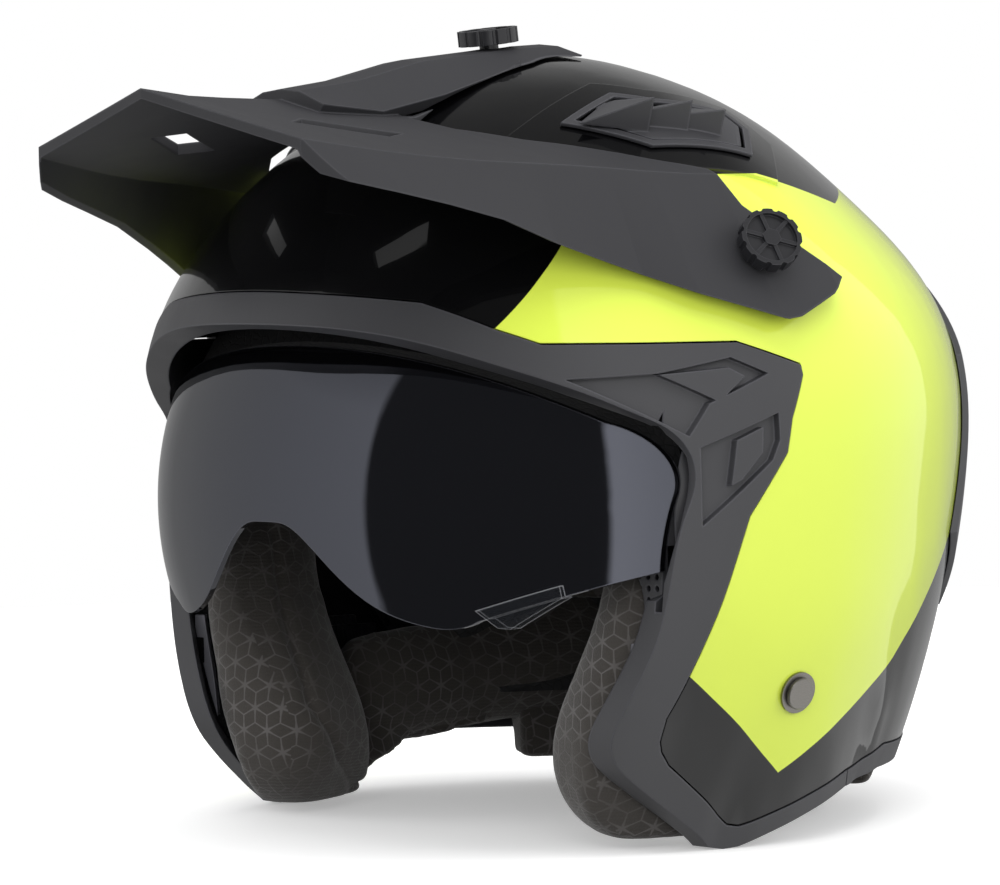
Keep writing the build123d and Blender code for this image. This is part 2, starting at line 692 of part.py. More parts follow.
def knurled_screw(plane, seat, shank_length):
    """Cap with a notched rim, six spokes and a hexagonal middle, on a plain shank."""
    floor = seat + cap_height - cap_recess
    cap = rod(plane, cap_radius, seat, seat + cap_height)
    cap -= rod(plane, cap_radius - cap_rim, floor, seat + cap_height + cap_recess)
    hub = Pos(0, 0, floor - cap_recess) * RegularPolygon(cap_hub_radius, 2 * cap_spoke_count)
    cap += extrude(plane * hub, amount=2 * cap_recess)
    spoke = Rectangle(2 * cap_radius - cap_rim, cap_spoke_width)
    spokes = Sketch() + [Rot(0, 0, 180 / cap_spoke_count * k) * spoke for k in range(cap_spoke_count)]
    cap += extrude(plane * Pos(0, 0, floor - cap_recess) * spokes, amount=cap_recess + cap_recess * 2 / 3)
    for k in range(cap_notch_count):
        turn = Rot(0, 0, 360 / cap_notch_count * k)
        notch = turn * Pos(cap_radius + cap_notch_radius / 3, 0, 0) * Circle(cap_notch_radius)
        cap -= extrude(plane * Pos(0, 0, seat - cap_seat) * notch, amount=cap_height + 2 * cap_seat)
    return cap + rod(plane, shank_radius, seat - shank_length, seat + cap_seat)


def nut(plane, seat, shank_length):
    """Threaded insert on the inner end of a screw's shank."""
    low = seat - shank_length
    bore = rod(plane, shank_radius + running_gap, low - nut_height, low + 2 * nut_height)
    return rod(plane, nut_radius, low, low + nut_height) - bore


def vent_frame():
    """Raised rim of one top vent."""
    ring = vent_prism(0) - vent_prism(-vent_frame_width)
    return (ring & dome(vent_proud)) - dome(plateau_rise + layer_gap)


def scoop(length, rear_y, outer_x, inner_x, ridge_x, height):
    """Wedge with its point forward and a steep rear face."""
    rear = rear_y * vent_length
    base = -vent_plate_lift
    point = (scoop_front_share * vent_width, rear - length * scoop_length, base)
    outer = (outer_x * vent_width, rear, base)
    inner = (inner_x * vent_width, rear, base)
    ridge = (ridge_x * vent_width, rear, height * scoop_height)
    corners = ((point, outer, inner), (point, outer, ridge), (point, inner, ridge), (outer, inner, ridge))
    faces = [make_face(Polyline(*corner, close=True).edges()).faces()[0] for corner in corners]
    return vent_plane * Solid(Shell(faces))


def vent_slider():
    """Sliding plate with three scoops, clear of the frame and the shell over its whole travel."""
    room = rod(vent_plane, vent_length, -vent_length, vent_length)
    shell_side = dome(plateau_rise + layer_gap) & room
    frame_side = (dome(vent_proud + vent_gap) & room) - vent_prism(-vent_frame_width - vent_gap)
    slider = dome(vent_proud) & room & vent_prism(-vent_frame_width - vent_gap)
    for row in scoop_shares:
        slider += scoop(*row)
    for stage in range(vent_stages + 1):
        back = vent_plane.y_dir * (-vent_travel * stage / vent_stages)
        slider -= Pos(*back) * shell_side
        slider -= Pos(*back) * frame_side
    return max(slider.solids(), key=lambda piece: piece.volume)


def strap_rivet():
    """Flat steel head over a ring, with its shank through the shell and the strap."""
    head = rod(rivet_plane, rivet_head_radius, rivet_ring_height, rivet_ring_height + rivet_head_height)
    head = chamfer(head.edges().filter_by(GeomType.CIRCLE), rivet_head_height / 4)
    ring = rod(rivet_plane, rivet_ring_radius, 0, rivet_ring_height)
    tail = -shell_wall - 2 * strap_thickness - anchor_thickness
    return head + ring + rod(rivet_plane, rivet_shank_radius, tail, rivet_ring_height + rivet_head_height / 2)


def strap_anchor():
    """Steel plate on the rivet's inner end, over the strap."""
    outer = -shell_wall - strap_thickness - 3 * layer_gap
    plate = rod(rivet_plane, anchor_radius, outer - anchor_thickness, outer)
    return plate - rod(rivet_plane, rivet_shank_radius + running_gap, -overrun, overrun)


def chin_strap():
    """Webbing stowed along the shell's inner side, from the rivet back to the buckle."""
    middle = rivet_plane.origin
    low = middle.Z - strap_width / 2
    points = [(middle.Y - strap_width / 2, low), (middle.Y + strap_reach, low),
              (middle.Y + strap_reach, low + strap_width), (middle.Y - strap_width / 2, low + strap_width)]
    outer = -shell_wall - layer_gap
    band = extrude(Plane.YZ * polygon(points), amount=shell_half_width) & dome(outer)
    band -= dome(outer - strap_thickness)
    return band - rod(rivet_plane, rivet_shank_radius + layer_gap, -overrun, overrun)


strap_inner = -shell_wall - 2 * layer_gap - strap_thickness
buckle_y = rivet_plane.origin.Y + buckle_rear + buckle_length / 2
lever_axis_y = rivet_plane.origin.Y + buckle_rear + buckle_length - buckle_ear
lever_axis_x = buckle_inner_face - lever_barrel_radius - layer_gap
lever_axis = Plane(origin=(lever_axis_x, lever_axis_y, buckle_low), x_dir=(1, 0, 0), z_dir=(0, 0, 1))


def block_between(x_low, x_high, y_low, y_high, z_low, z_high):
    """Box between two corners."""
    return Pos(x_low, y_low, z_low) * Box(x_high - x_low, y_high - y_low, z_high - z_low,
                                          align=(Align.MIN, Align.MIN, Align.MIN))


def buckle_body():
    """Buckle housing against the strap, with two ears that hold the lever's pin."""
    front = buckle_y - buckle_length / 2
    rear = buckle_y + buckle_length / 2
    top = buckle_low + buckle_height
    body = block_between(buckle_inner_face, shell_half_width, front, rear, buckle_low, top)
    body &= dome(strap_inner)
    wall = buckle_ear_wall
    for low in (buckle_low, top - wall):
        body += block_between(lever_axis_x - wall, buckle_inner_face + wall, lever_axis_y - wall,
                              lever_axis_y + wall, low, low + wall)
    return body - rod(lever_axis, lever_pin_radius + running_gap, -overrun, overrun)


def buckle_lever():
    """Lever that lies on the buckle and flips inward about a pin in the ears."""
    side = buckle_ear_wall + layer_gap
    low = buckle_low + side
    high = buckle_low + buckle_height - side
    barrel = rod(lever_axis, lever_barrel_radius, side, buckle_height - side)
    arm = block_between(lever_axis_x - lever_thickness / 2, lever_axis_x + lever_thickness / 2,
                        buckle_y - buckle_length / 2, lever_axis_y, low, high)
    return barrel + arm + rod(lever_axis, lever_pin_radius, 0, buckle_height)


def buckle_tongue():
    """Toothed strip on the other strap, stowed flat against it."""
    low = buckle_low + (buckle_height - tongue_height) / 2
    front = buckle_y - buckle_length / 2
    strip = block_between(-shell_half_width, -block_inner_face, front, front + buckle_length, low,
                          low + tongue_height)
    strip &= dome(strap_inner)
    strip -= dome(strap_inner - tongue_thickness)
    for k in range(1, int(buckle_length / tooth_pitch)):
        y = front + k * tooth_pitch
        groove = block_between(-shell_half_width, -block_inner_face, y, y + tooth_pitch / 3, low,
                               low + tongue_height)
        strip -= groove & dome(strap_inner - tongue_thickness + tooth_depth)
    return strip


def cheek_pad():
    """Fabric cheek pad: a rounded front and a low tail that runs back under the ear."""
    tail = side_prism(side_points(pad_tail_shares)) - dome(-pad_outer_inset - pad_tail_thickness)
    tail &= block_between(0, shell_half_width, -shell_front_depth, shell_rear_depth, 0, shell_centre_height)
    return (pad_solid(0) + tail) & dome(-pad_outer_inset)


def cheek_block():
    """Stiff foam block that fills the room between the cheek pad and the shell."""
    block = dome(-shell_wall - layer_gap) & side_prism(side_points(block_shares))
    front = place_y(block_shares[2][0]) + receiver_thickness + layer_gap
    rear = place_y(block_shares[-1][0])
    block &= block_between(block_inner_face, shell_half_width, front, rear, 0, shell_centre_height)
    block -= pad_room
    block -= prism(opening_face(trim_lip_width + layer_gap))
    return max(block.solids(), key=lambda piece: piece.volume)


def chin_guard_receiver():
    """Plate with a hook notch beside the cheek pad, where a chin guard would clip in."""
    front = place_y(block_shares[2][0])
    plate = block_between(receiver_inner_face, receiver_outer_face, front, front + receiver_thickness,
                          receiver_low, receiver_low + receiver_height)
    plate = (plate & dome(-trim_lip_depth - layer_gap)) - pad_room
    notch_low = receiver_low + notch_rise
    plate -= block_between(notch_face, shell_half_width, front - overrun, front + overrun, notch_low,
                           notch_low + notch_height)
    return max(plate.solids(), key=lambda piece: piece.volume)


def ear_mesh():
    """Perforated mesh over the pocket between the cheek pad and the trim's lip."""
    front = place_y(block_shares[2][0]) + receiver_thickness
    mesh = block_between(mesh_inner_face, mesh_outer_face, front, front + mesh_thickness, mesh_low,
                         mesh_low + mesh_height)
    plane = Plane(origin=(mesh_inner_face, front, mesh_low), x_dir=(1, 0, 0), z_dir=(0, -1, 0))
    columns = int((mesh_outer_face - mesh_inner_face) / mesh_pitch)
    rows = int(mesh_height / mesh_pitch)
    holes = [Pos((i + 0.5) * mesh_pitch, (j + 0.5) * mesh_pitch) * Circle(mesh_hole_radius)
             for i in range(columns) for j in range(rows)]
    mesh -= extrude(plane * (Sketch() + holes), amount=overrun, both=True)
    mesh = (mesh & dome(-trim_lip_depth - layer_gap)) - pad_room
    return max(mesh.solids(), key=lambda piece: piece.volume)


def neck_roll():
    """Padded roll round the nape, flat where it meets the ground, with ends that rise off it."""
    centre_y = shell_centre_y + roll_centre_offset
    start = math.radians(roll_start_angle)
    rise = roll_height / 2 - roll_flat
    out = Vector(math.cos(start), math.sin(start), 0)
    origin = (roll_arc_radius * out.X, centre_y + roll_arc_radius * out.Y, rise)
    plane = Plane(origin=origin, x_dir=out, z_dir=(-out.Y, out.X, 0))
    section = plane * Ellipse(roll_depth / 2, roll_height / 2)
    axis = Axis((0, centre_y, 0), (0, 0, 1))
    roll = revolve(section, axis=axis, revolution_arc=180 - 2 * roll_start_angle)
    roll &= block_between(-shell_half_width, shell_half_width, -2 * shell_rear_depth, 2 * shell_rear_depth, 0,
                          shell_centre_height)
    under = [(roll_foot_half_width, dome_foot), (roll_foot_half_width, 0),
             (roll_bend_half_width, roll_end_rise), (shell_half_width, roll_end_rise),
             (shell_half_width, dome_foot)]
    roll -= both_sides(prism(polygon(under), Plane.XZ))
    return roll & dome(-shell_wall - layer_gap)


def sun_visor():
    """Smoke lens: a form of revolution about the pivots, cut to the photographed outline."""
    return whole_band(-lens_wall, 0) & lens_prism()


def visor_tab(lens):
    """Clear thumb tab over the lens's lower edge, on the wearer's left."""
    outline = front_points(tab_shares)
    face = Plane(origin=(0, pivot_y, 0), x_dir=(1, 0, 0), z_dir=(0, -1, 0)) * polygon(outline)
    tab = whole_band(-lens_wall, tab_proud) & extrude(face, amount=2 * visor_radius)
    return max((tab - lens).solids(), key=lambda piece: piece.volume)


def visor_arm(lens):
    """Plate from the pivot to the lens's inner face."""
    eye = arm_eye_radius
    points = [(eye, 0), (0, eye), (-arm_reach, eye), (-arm_reach, -eye), (0, -eye)]
    web = extrude(pivot_plane * Pos(0, 0, arm_face) * polygon(points), amount=arm_wall)
    arm = web + rod(pivot_plane, eye, arm_face, arm_face + arm_wall)
    arm -= whole_band(-lens_wall - running_gap, pocket_outer_room + overrun)
    arm -= rod(pivot_plane, pin_radius + running_gap, arm_face - overrun, arm_face + overrun)
    return max(arm.solids(), key=lambda piece: piece.volume)


def visor_pivot():
    """Boss on the shell's inner side with the pin that carries a visor arm."""
    outer = arm_face + arm_wall + layer_gap
    boss = rod(pivot_plane, boss_radius, outer, shell_half_width) & dome(-shell_wall)
    pin = rod(pivot_plane, pin_radius, arm_face - layer_gap, outer)
    head = rod(pivot_plane, pin_head_radius, arm_face - layer_gap - pin_head_height, arm_face - layer_gap)
    return boss + pin + head


def main():
    """Build each piece and write it under its own name."""
    lens = sun_visor()
    save(outer_shell(), "outer_shell")
    save(face_trim(), "face_trim")
    save(neck_trim(), "neck_trim")
    save(rear_vent_cover(), "rear_vent_cover")
    save(eps_liner(), "eps_liner")
    save(crown_liner(), "crown_liner")
    save(peak(), "peak")
    save_pair(knurled_screw(screw_plane, cap_seat, side_shank_length), "peak_screw")
    save(knurled_screw(top_plane, top_seat, top_shank_length), "top_peak_screw")
    side_nut = nut(screw_plane, cap_seat, side_shank_length)
    save(both_sides(side_nut) + nut(top_plane, top_seat, top_shank_length), "peak_nuts")
    save_pair(vent_frame(), "vent_frame")
    save_pair(vent_slider(), "vent_slider")
    save_pair(strap_rivet(), "strap_rivet")
    save(both_sides(strap_anchor()), "strap_anchors")
    save_pair(chin_strap(), "chin_strap")
    save(buckle_body(), "buckle_body")
    save(buckle_lever(), "buckle_lever")
    save(buckle_tongue(), "buckle_tongue")
    save_pair(cheek_pad(), "cheek_pad")
    save_pair(cheek_block(), "cheek_block")
    save_pair(chin_guard_receiver(), "chin_guard_receiver")
    save_pair(ear_mesh(), "ear_mesh")
    save(neck_roll(), "neck_roll")
    save(lens, "sun_visor")
    save(visor_tab(lens), "visor_tab")
    save_pair(visor_arm(lens), "visor_arm")
    save_pair(visor_pivot(), "visor_pivot")


if __name__ == "__main__":
    main()
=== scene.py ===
import logging
import math
from collections.abc import Callable, Iterable, Sequence
from dataclasses import dataclass, field
from enum import Enum

import bmesh
import bpy
from mathutils import Matrix, Vector, geometry


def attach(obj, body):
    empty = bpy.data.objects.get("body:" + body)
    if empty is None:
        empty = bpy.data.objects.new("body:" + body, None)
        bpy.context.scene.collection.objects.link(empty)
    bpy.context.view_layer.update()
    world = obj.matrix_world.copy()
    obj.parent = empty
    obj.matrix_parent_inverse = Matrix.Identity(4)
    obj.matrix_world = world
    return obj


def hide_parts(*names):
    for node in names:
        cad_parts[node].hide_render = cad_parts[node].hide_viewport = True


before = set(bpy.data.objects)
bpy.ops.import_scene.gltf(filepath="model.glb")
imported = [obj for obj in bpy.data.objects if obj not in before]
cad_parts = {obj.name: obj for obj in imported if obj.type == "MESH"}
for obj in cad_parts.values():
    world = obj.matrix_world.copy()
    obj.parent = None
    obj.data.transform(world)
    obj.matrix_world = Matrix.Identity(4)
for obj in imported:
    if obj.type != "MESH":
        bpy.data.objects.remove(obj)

logging.basicConfig(level=logging.INFO, format="%(message)s")
log = logging.getLogger("helmet")

MM = 0.001
MATH = "ShaderNodeMath"
VECTOR_MATH = "ShaderNodeVectorMath"
MAP_RANGE = "ShaderNodeMapRange"
MIX = "ShaderNodeMix"
NOISE = "ShaderNodeTexNoise"
BUMP = "ShaderNodeBump"
WAVE = "ShaderNodeTexWave"
NOISE_RANGE = (0.3, 0.7)
MERGE_MM = 0.02
SRGB_KNEE = 0.04045
BANDS_PER_UNIT = 20 / math.tau

Socket = bpy.types.NodeSocket
Tree = bpy.types.NodeTree


class Side(Enum):
    """The wearer's side that a handed piece belongs to."""

    LEFT = 1
    RIGHT = -1

    @property
    def word(self) -> str:
        """First word of the piece's name."""
        return self.name.lower()


def linear(code: str) -> tuple[float, float, float, float]:
    """Turn an sRGB hex colour into the linear colour that a shader reads.

    Args:
        code: Six hex digits after a hash.

    Returns:
        Red, green, blue and an alpha of 1.
    """
    parts = [int(code[i:i + 2], 16) / 255 for i in (1, 3, 5)]
    r, g, b = [c / 12.92 if c <= SRGB_KNEE else ((c + 0.055) / 1.055) ** 2.4 for c in parts]
    return r, g, b, 1.0


def add_node(tree: Tree, kind: str, *values: object, named: dict[str, object] | None = None,
             **settings: object) -> Socket:
    """Add one node, set its properties and fill its inputs.

    Args:
        tree: Node tree that takes the node.
        kind: Blender's identifier of the node's type.
        values: Sockets to link or values to set, for the inputs in use, in their order.
        named: Sockets or values for inputs that are reached by name.
        settings: Properties of the node itself.

    Returns:
        The node's first output that is in use, or its first input on an output node.
    """
    node = tree.nodes.new(kind)
    for key, value in settings.items():
        setattr(node, key, value)
    filled = list(zip([socket for socket in node.inputs if socket.enabled], values))
    filled += [(node.inputs[key], value) for key, value in (named or {}).items()]
    for socket, value in filled:
        if isinstance(value, Socket):
            tree.links.new(value, socket)
        elif value is not None:
            socket.default_value = value
    shown = [socket for socket in node.outputs if socket.enabled]
    return shown[0] if shown else node.inputs[0]


def wave_scale(pitch_mm: float) -> float:
    """Scale that gives a wave texture bands at a real pitch."""
    return 1 / (BANDS_PER_UNIT * pitch_mm * MM)


def step_up(tree: Tree, value: Socket, low: float, high: float) -> Socket:
    """Turn a height over a line into a share from 0 to 1 across a narrow band."""
    return add_node(tree, MAP_RANGE, value, low, high, 0.0, 1.0, interpolation_type="SMOOTHSTEP")


@dataclass(frozen=True)
class Line:
    """Straight paint edge in side view, through a point with a slope, in millimetres."""

    y: float
    z: float
    slope: float

    def height(self, tree: Tree, y: Socket, z: Socket) -> Socket:
        """Height of the shaded point over the line, in metres."""
        start = (self.slope * self.y - self.z) * MM
        drop = add_node(tree, MATH, y, -self.slope, start, operation="MULTIPLY_ADD")
        return add_node(tree, MATH, z, drop, operation="ADD")


@dataclass(frozen=True)
class Finish:
    """Surface of one real material, with the sizes of its grain in millimetres."""

    name: str
    colour: str
    roughness: float
    ior: float = 1.5
    metallic: float = 0.0
    grain_mm: float = 0.7
    grain_depth: float = 0.05
    edge_mm: float = 0.6
    # Colour of the edges: partly wear, partly a painted highlight
    edge_wear_and_highlight_colour: str | None = None
    mottle: float = 0.08
    cloud_mm: float = 18.0
    rough_spread: float = 0.03
    bump_mm: float = 0.1
    octave_gain: float = 0.55
    flat_match: float = 0.995
    edge_match: float = 0.9

    def start(self) -> tuple[bpy.types.Material, Tree, bpy.types.Node]:
        """Open an empty material with a Principled shader joined to its output."""
        material = bpy.data.materials.new(self.name)
        material.use_nodes = True
        tree = material.node_tree
        tree.nodes.clear()
        shader = tree.nodes.new("ShaderNodeBsdfPrincipled")
        shader.inputs["Roughness"].default_value = self.roughness
        shader.inputs["Metallic"].default_value = self.metallic
        if not self.metallic:
            shader.inputs["IOR"].default_value = self.ior
        output = tree.nodes.new("ShaderNodeOutputMaterial")
        tree.links.new(shader.outputs[0], output.inputs[0])
        material.diffuse_color = linear(self.colour)
        return material, tree, shader

    def place(self, tree: Tree) -> Socket:
        """Place of the shaded point on the object, in metres."""
        return add_node(tree, "ShaderNodeTexCoord").node.outputs["Object"]

    def grain(self, tree: Tree, size_mm: float, detail: float = 3.0) -> Socket:
        """Even noise whose features are as large as the given real size."""
        return add_node(tree, NOISE, named={"Vector": self.place(tree), "Scale": 1 / (size_mm * MM),
                                            "Detail": detail, "Roughness": self.octave_gain})

    def rounded(self, tree: Tree) -> Socket:
        """Normal that turns smoothly over each moulded edge."""
        return add_node(tree, "ShaderNodeBevel", self.edge_mm * MM, samples=6)

    def edge_highlight_share(self, tree: Tree, turned: Socket) -> Socket:
        """Share that is 1 on an edge and 0 on a flat face, where the painted edge highlight goes."""
        flat = add_node(tree, "ShaderNodeNewGeometry").node.outputs["Normal"]
        match = add_node(tree, VECTOR_MATH, flat, turned, operation="DOT_PRODUCT")
        return add_node(tree, MAP_RANGE, match, self.flat_match, self.edge_match, 0.0, 1.0)

    def build(self) -> bpy.types.Material:
        """Make a moulded surface: fine grain, faint mottling and edges a little brighter, partly wear and
        partly a painted highlight.
        """
        material, tree, shader = self.start()
        turned = self.rounded(tree)
        fine = self.grain(tree, self.grain_mm)
        cloud = self.grain(tree, self.cloud_mm, detail=2.0)
        base = linear(self.colour)
        dim = tuple(c * (1 - self.mottle) for c in base[:3]) + (1.0,)
        colour = add_node(tree, MIX, cloud, dim, base, data_type="RGBA")
        # Edges a little brighter: partly wear, partly a painted highlight
        if self.edge_wear_and_highlight_colour:
            edge_highlight = self.edge_highlight_share(tree, turned)
            colour = add_node(tree, MIX, edge_highlight, colour, linear(self.edge_wear_and_highlight_colour), data_type="RGBA")
        tree.links.new(colour, shader.inputs["Base Color"])
        least, most = self.roughness - self.rough_spread, self.roughness + self.rough_spread
        rough = add_node(tree, MAP_RANGE, cloud, *NOISE_RANGE, least, most)
        tree.links.new(rough, shader.inputs["Roughness"])
        bump = add_node(tree, BUMP, named={"Strength": self.grain_depth, "Distance": self.bump_mm * MM,
                                           "Height": fine, "Normal": turned})
        tree.links.new(bump, shader.inputs["Normal"])
        return material


@dataclass(frozen=True)
class ShellLacquer(Finish):
    """Sprayed ABS: fluorescent yellow flanks over black, under one clear coat with sharp reflections."""

    black: str = "#050506"
    front: Line = Line(-85.6, 153.3, 1.025)
    lower: tuple[Line, ...] = (Line(-4.4, 25.5, 0.59), Line(44.2, 54.8, 0.76))
    jaw: Line = Line(-45.2, 53.1, -0.884)
    top_fall: Line = Line(8.3, 196.1, -0.235)
    top_rise: Line = Line(52.3, 187.9, 0.2)
    top_mm: float = 196.3
    nape_mm: float = 90.0
    spray_edge_mm: float = 0.12
    # Box behind the rear cover's slots where black is painted as shade
    slot_shade_half_mm: float = 30.0
    slot_shade_rear_mm: float = 100.0
    slot_shade_height_mm: tuple[float, float] = (80.0, 145.0)
    bump_mm: float = 0.05
    base_specular: float = 0.08
    coat_roughness: float = 0.03
    middle_mm: tuple[float, float, float] = (0.0, 5.4, 122.0)

    def outward(self, tree: Tree) -> Socket:
        """Share that is 1 on the shell's outer side and 0 on its unpainted inner side."""
        middle = tuple(c * MM for c in self.middle_mm)
        way = add_node(tree, VECTOR_MATH, self.place(tree), middle, operation="SUBTRACT")
        facing = add_node(tree, "ShaderNodeTexCoord").node.outputs["Normal"]
        match = add_node(tree, VECTOR_MATH, facing, way, operation="DOT_PRODUCT")
        return add_node(tree, MATH, match, 0.0, operation="GREATER_THAN")

    def slot_shade(self, tree: Tree) -> Socket:
        """Share that is 1 on the black patch behind the rear cover's slots, painted shade that makes the
        slots look dark.
        """
        x, y, z = add_node(tree, "ShaderNodeSeparateXYZ", self.place(tree)).node.outputs
        low, high = self.slot_shade_height_mm
        aside = add_node(tree, MATH, x, operation="ABSOLUTE")
        inside = add_node(tree, MATH, self.slot_shade_half_mm * MM, aside, operation="SUBTRACT")
        for socket, sign, start in ((y, 1.0, -self.slot_shade_rear_mm), (z, 1.0, -low), (z, -1.0, high)):
            bound = add_node(tree, MATH, socket, sign, start * MM, operation="MULTIPLY_ADD")
            inside = add_node(tree, MATH, inside, bound, operation="MINIMUM")
        return add_node(tree, MATH, inside, 0.0, operation="GREATER_THAN")

    def painted(self, tree: Tree) -> Socket:
        """Share that is 1 where the yellow coat lies."""
        parts = add_node(tree, "ShaderNodeSeparateXYZ", self.place(tree)).node.outputs
        y, z = parts["Y"], parts["Z"]
        over = [line.height(tree, y, z) for line in self.lower]
        low = add_node(tree, MATH, *over, operation="MINIMUM")
        nape = add_node(tree, MATH, z, self.nape_mm * MM, operation="SUBTRACT")
        low = add_node(tree, MATH, low, nape, operation="MAXIMUM")
        inside = add_node(tree, MATH, low, self.jaw.height(tree, y, z), operation="MINIMUM")
        under = [line.height(tree, y, z) for line in (self.top_fall, self.top_rise)]
        top = add_node(tree, MATH, *under, operation="MINIMUM")
        top = add_node(tree, MATH, top, -1.0, operation="MULTIPLY")
        flat = add_node(tree, MATH, self.top_mm * MM, z, operation="SUBTRACT")
        ahead = add_node(tree, MATH, self.front.height(tree, y, z), -1.0, operation="MULTIPLY")
        for bound in (top, flat, ahead):
            inside = add_node(tree, MATH, inside, bound, operation="MINIMUM")
        coat = step_up(tree, inside, -self.spray_edge_mm * MM, self.spray_edge_mm * MM)
        coat = add_node(tree, MATH, coat, self.outward(tree), operation="MULTIPLY")
        # The yellow is taken off behind the rear cover's slots, leaving black there as painted shade
        return add_node(tree, MATH, coat, self.slot_shade(tree), operation="SUBTRACT", use_clamp=True)

    def build(self) -> bpy.types.Material:
        """Make the two-colour lacquer with a trace of orange peel in its clear coat."""
        material, tree, shader = self.start()
        turned = self.rounded(tree)
        share = self.painted(tree)
        colour = add_node(tree, MIX, share, linear(self.black), linear(self.colour), data_type="RGBA")
        tree.links.new(colour, shader.inputs["Base Color"])
        shader.inputs["Specular IOR Level"].default_value = self.base_specular
        shader.inputs["Coat Weight"].default_value = 1.0
        shader.inputs["Coat Roughness"].default_value = self.coat_roughness
        peel = self.grain(tree, self.grain_mm, detail=1.0)
        bump = add_node(tree, BUMP, named={"Strength": self.grain_depth, "Distance": self.bump_mm * MM,
                                           "Height": peel, "Normal": turned})
        for name in ("Normal", "Coat Normal"):
            tree.links.new(bump, shader.inputs[name])
        return material


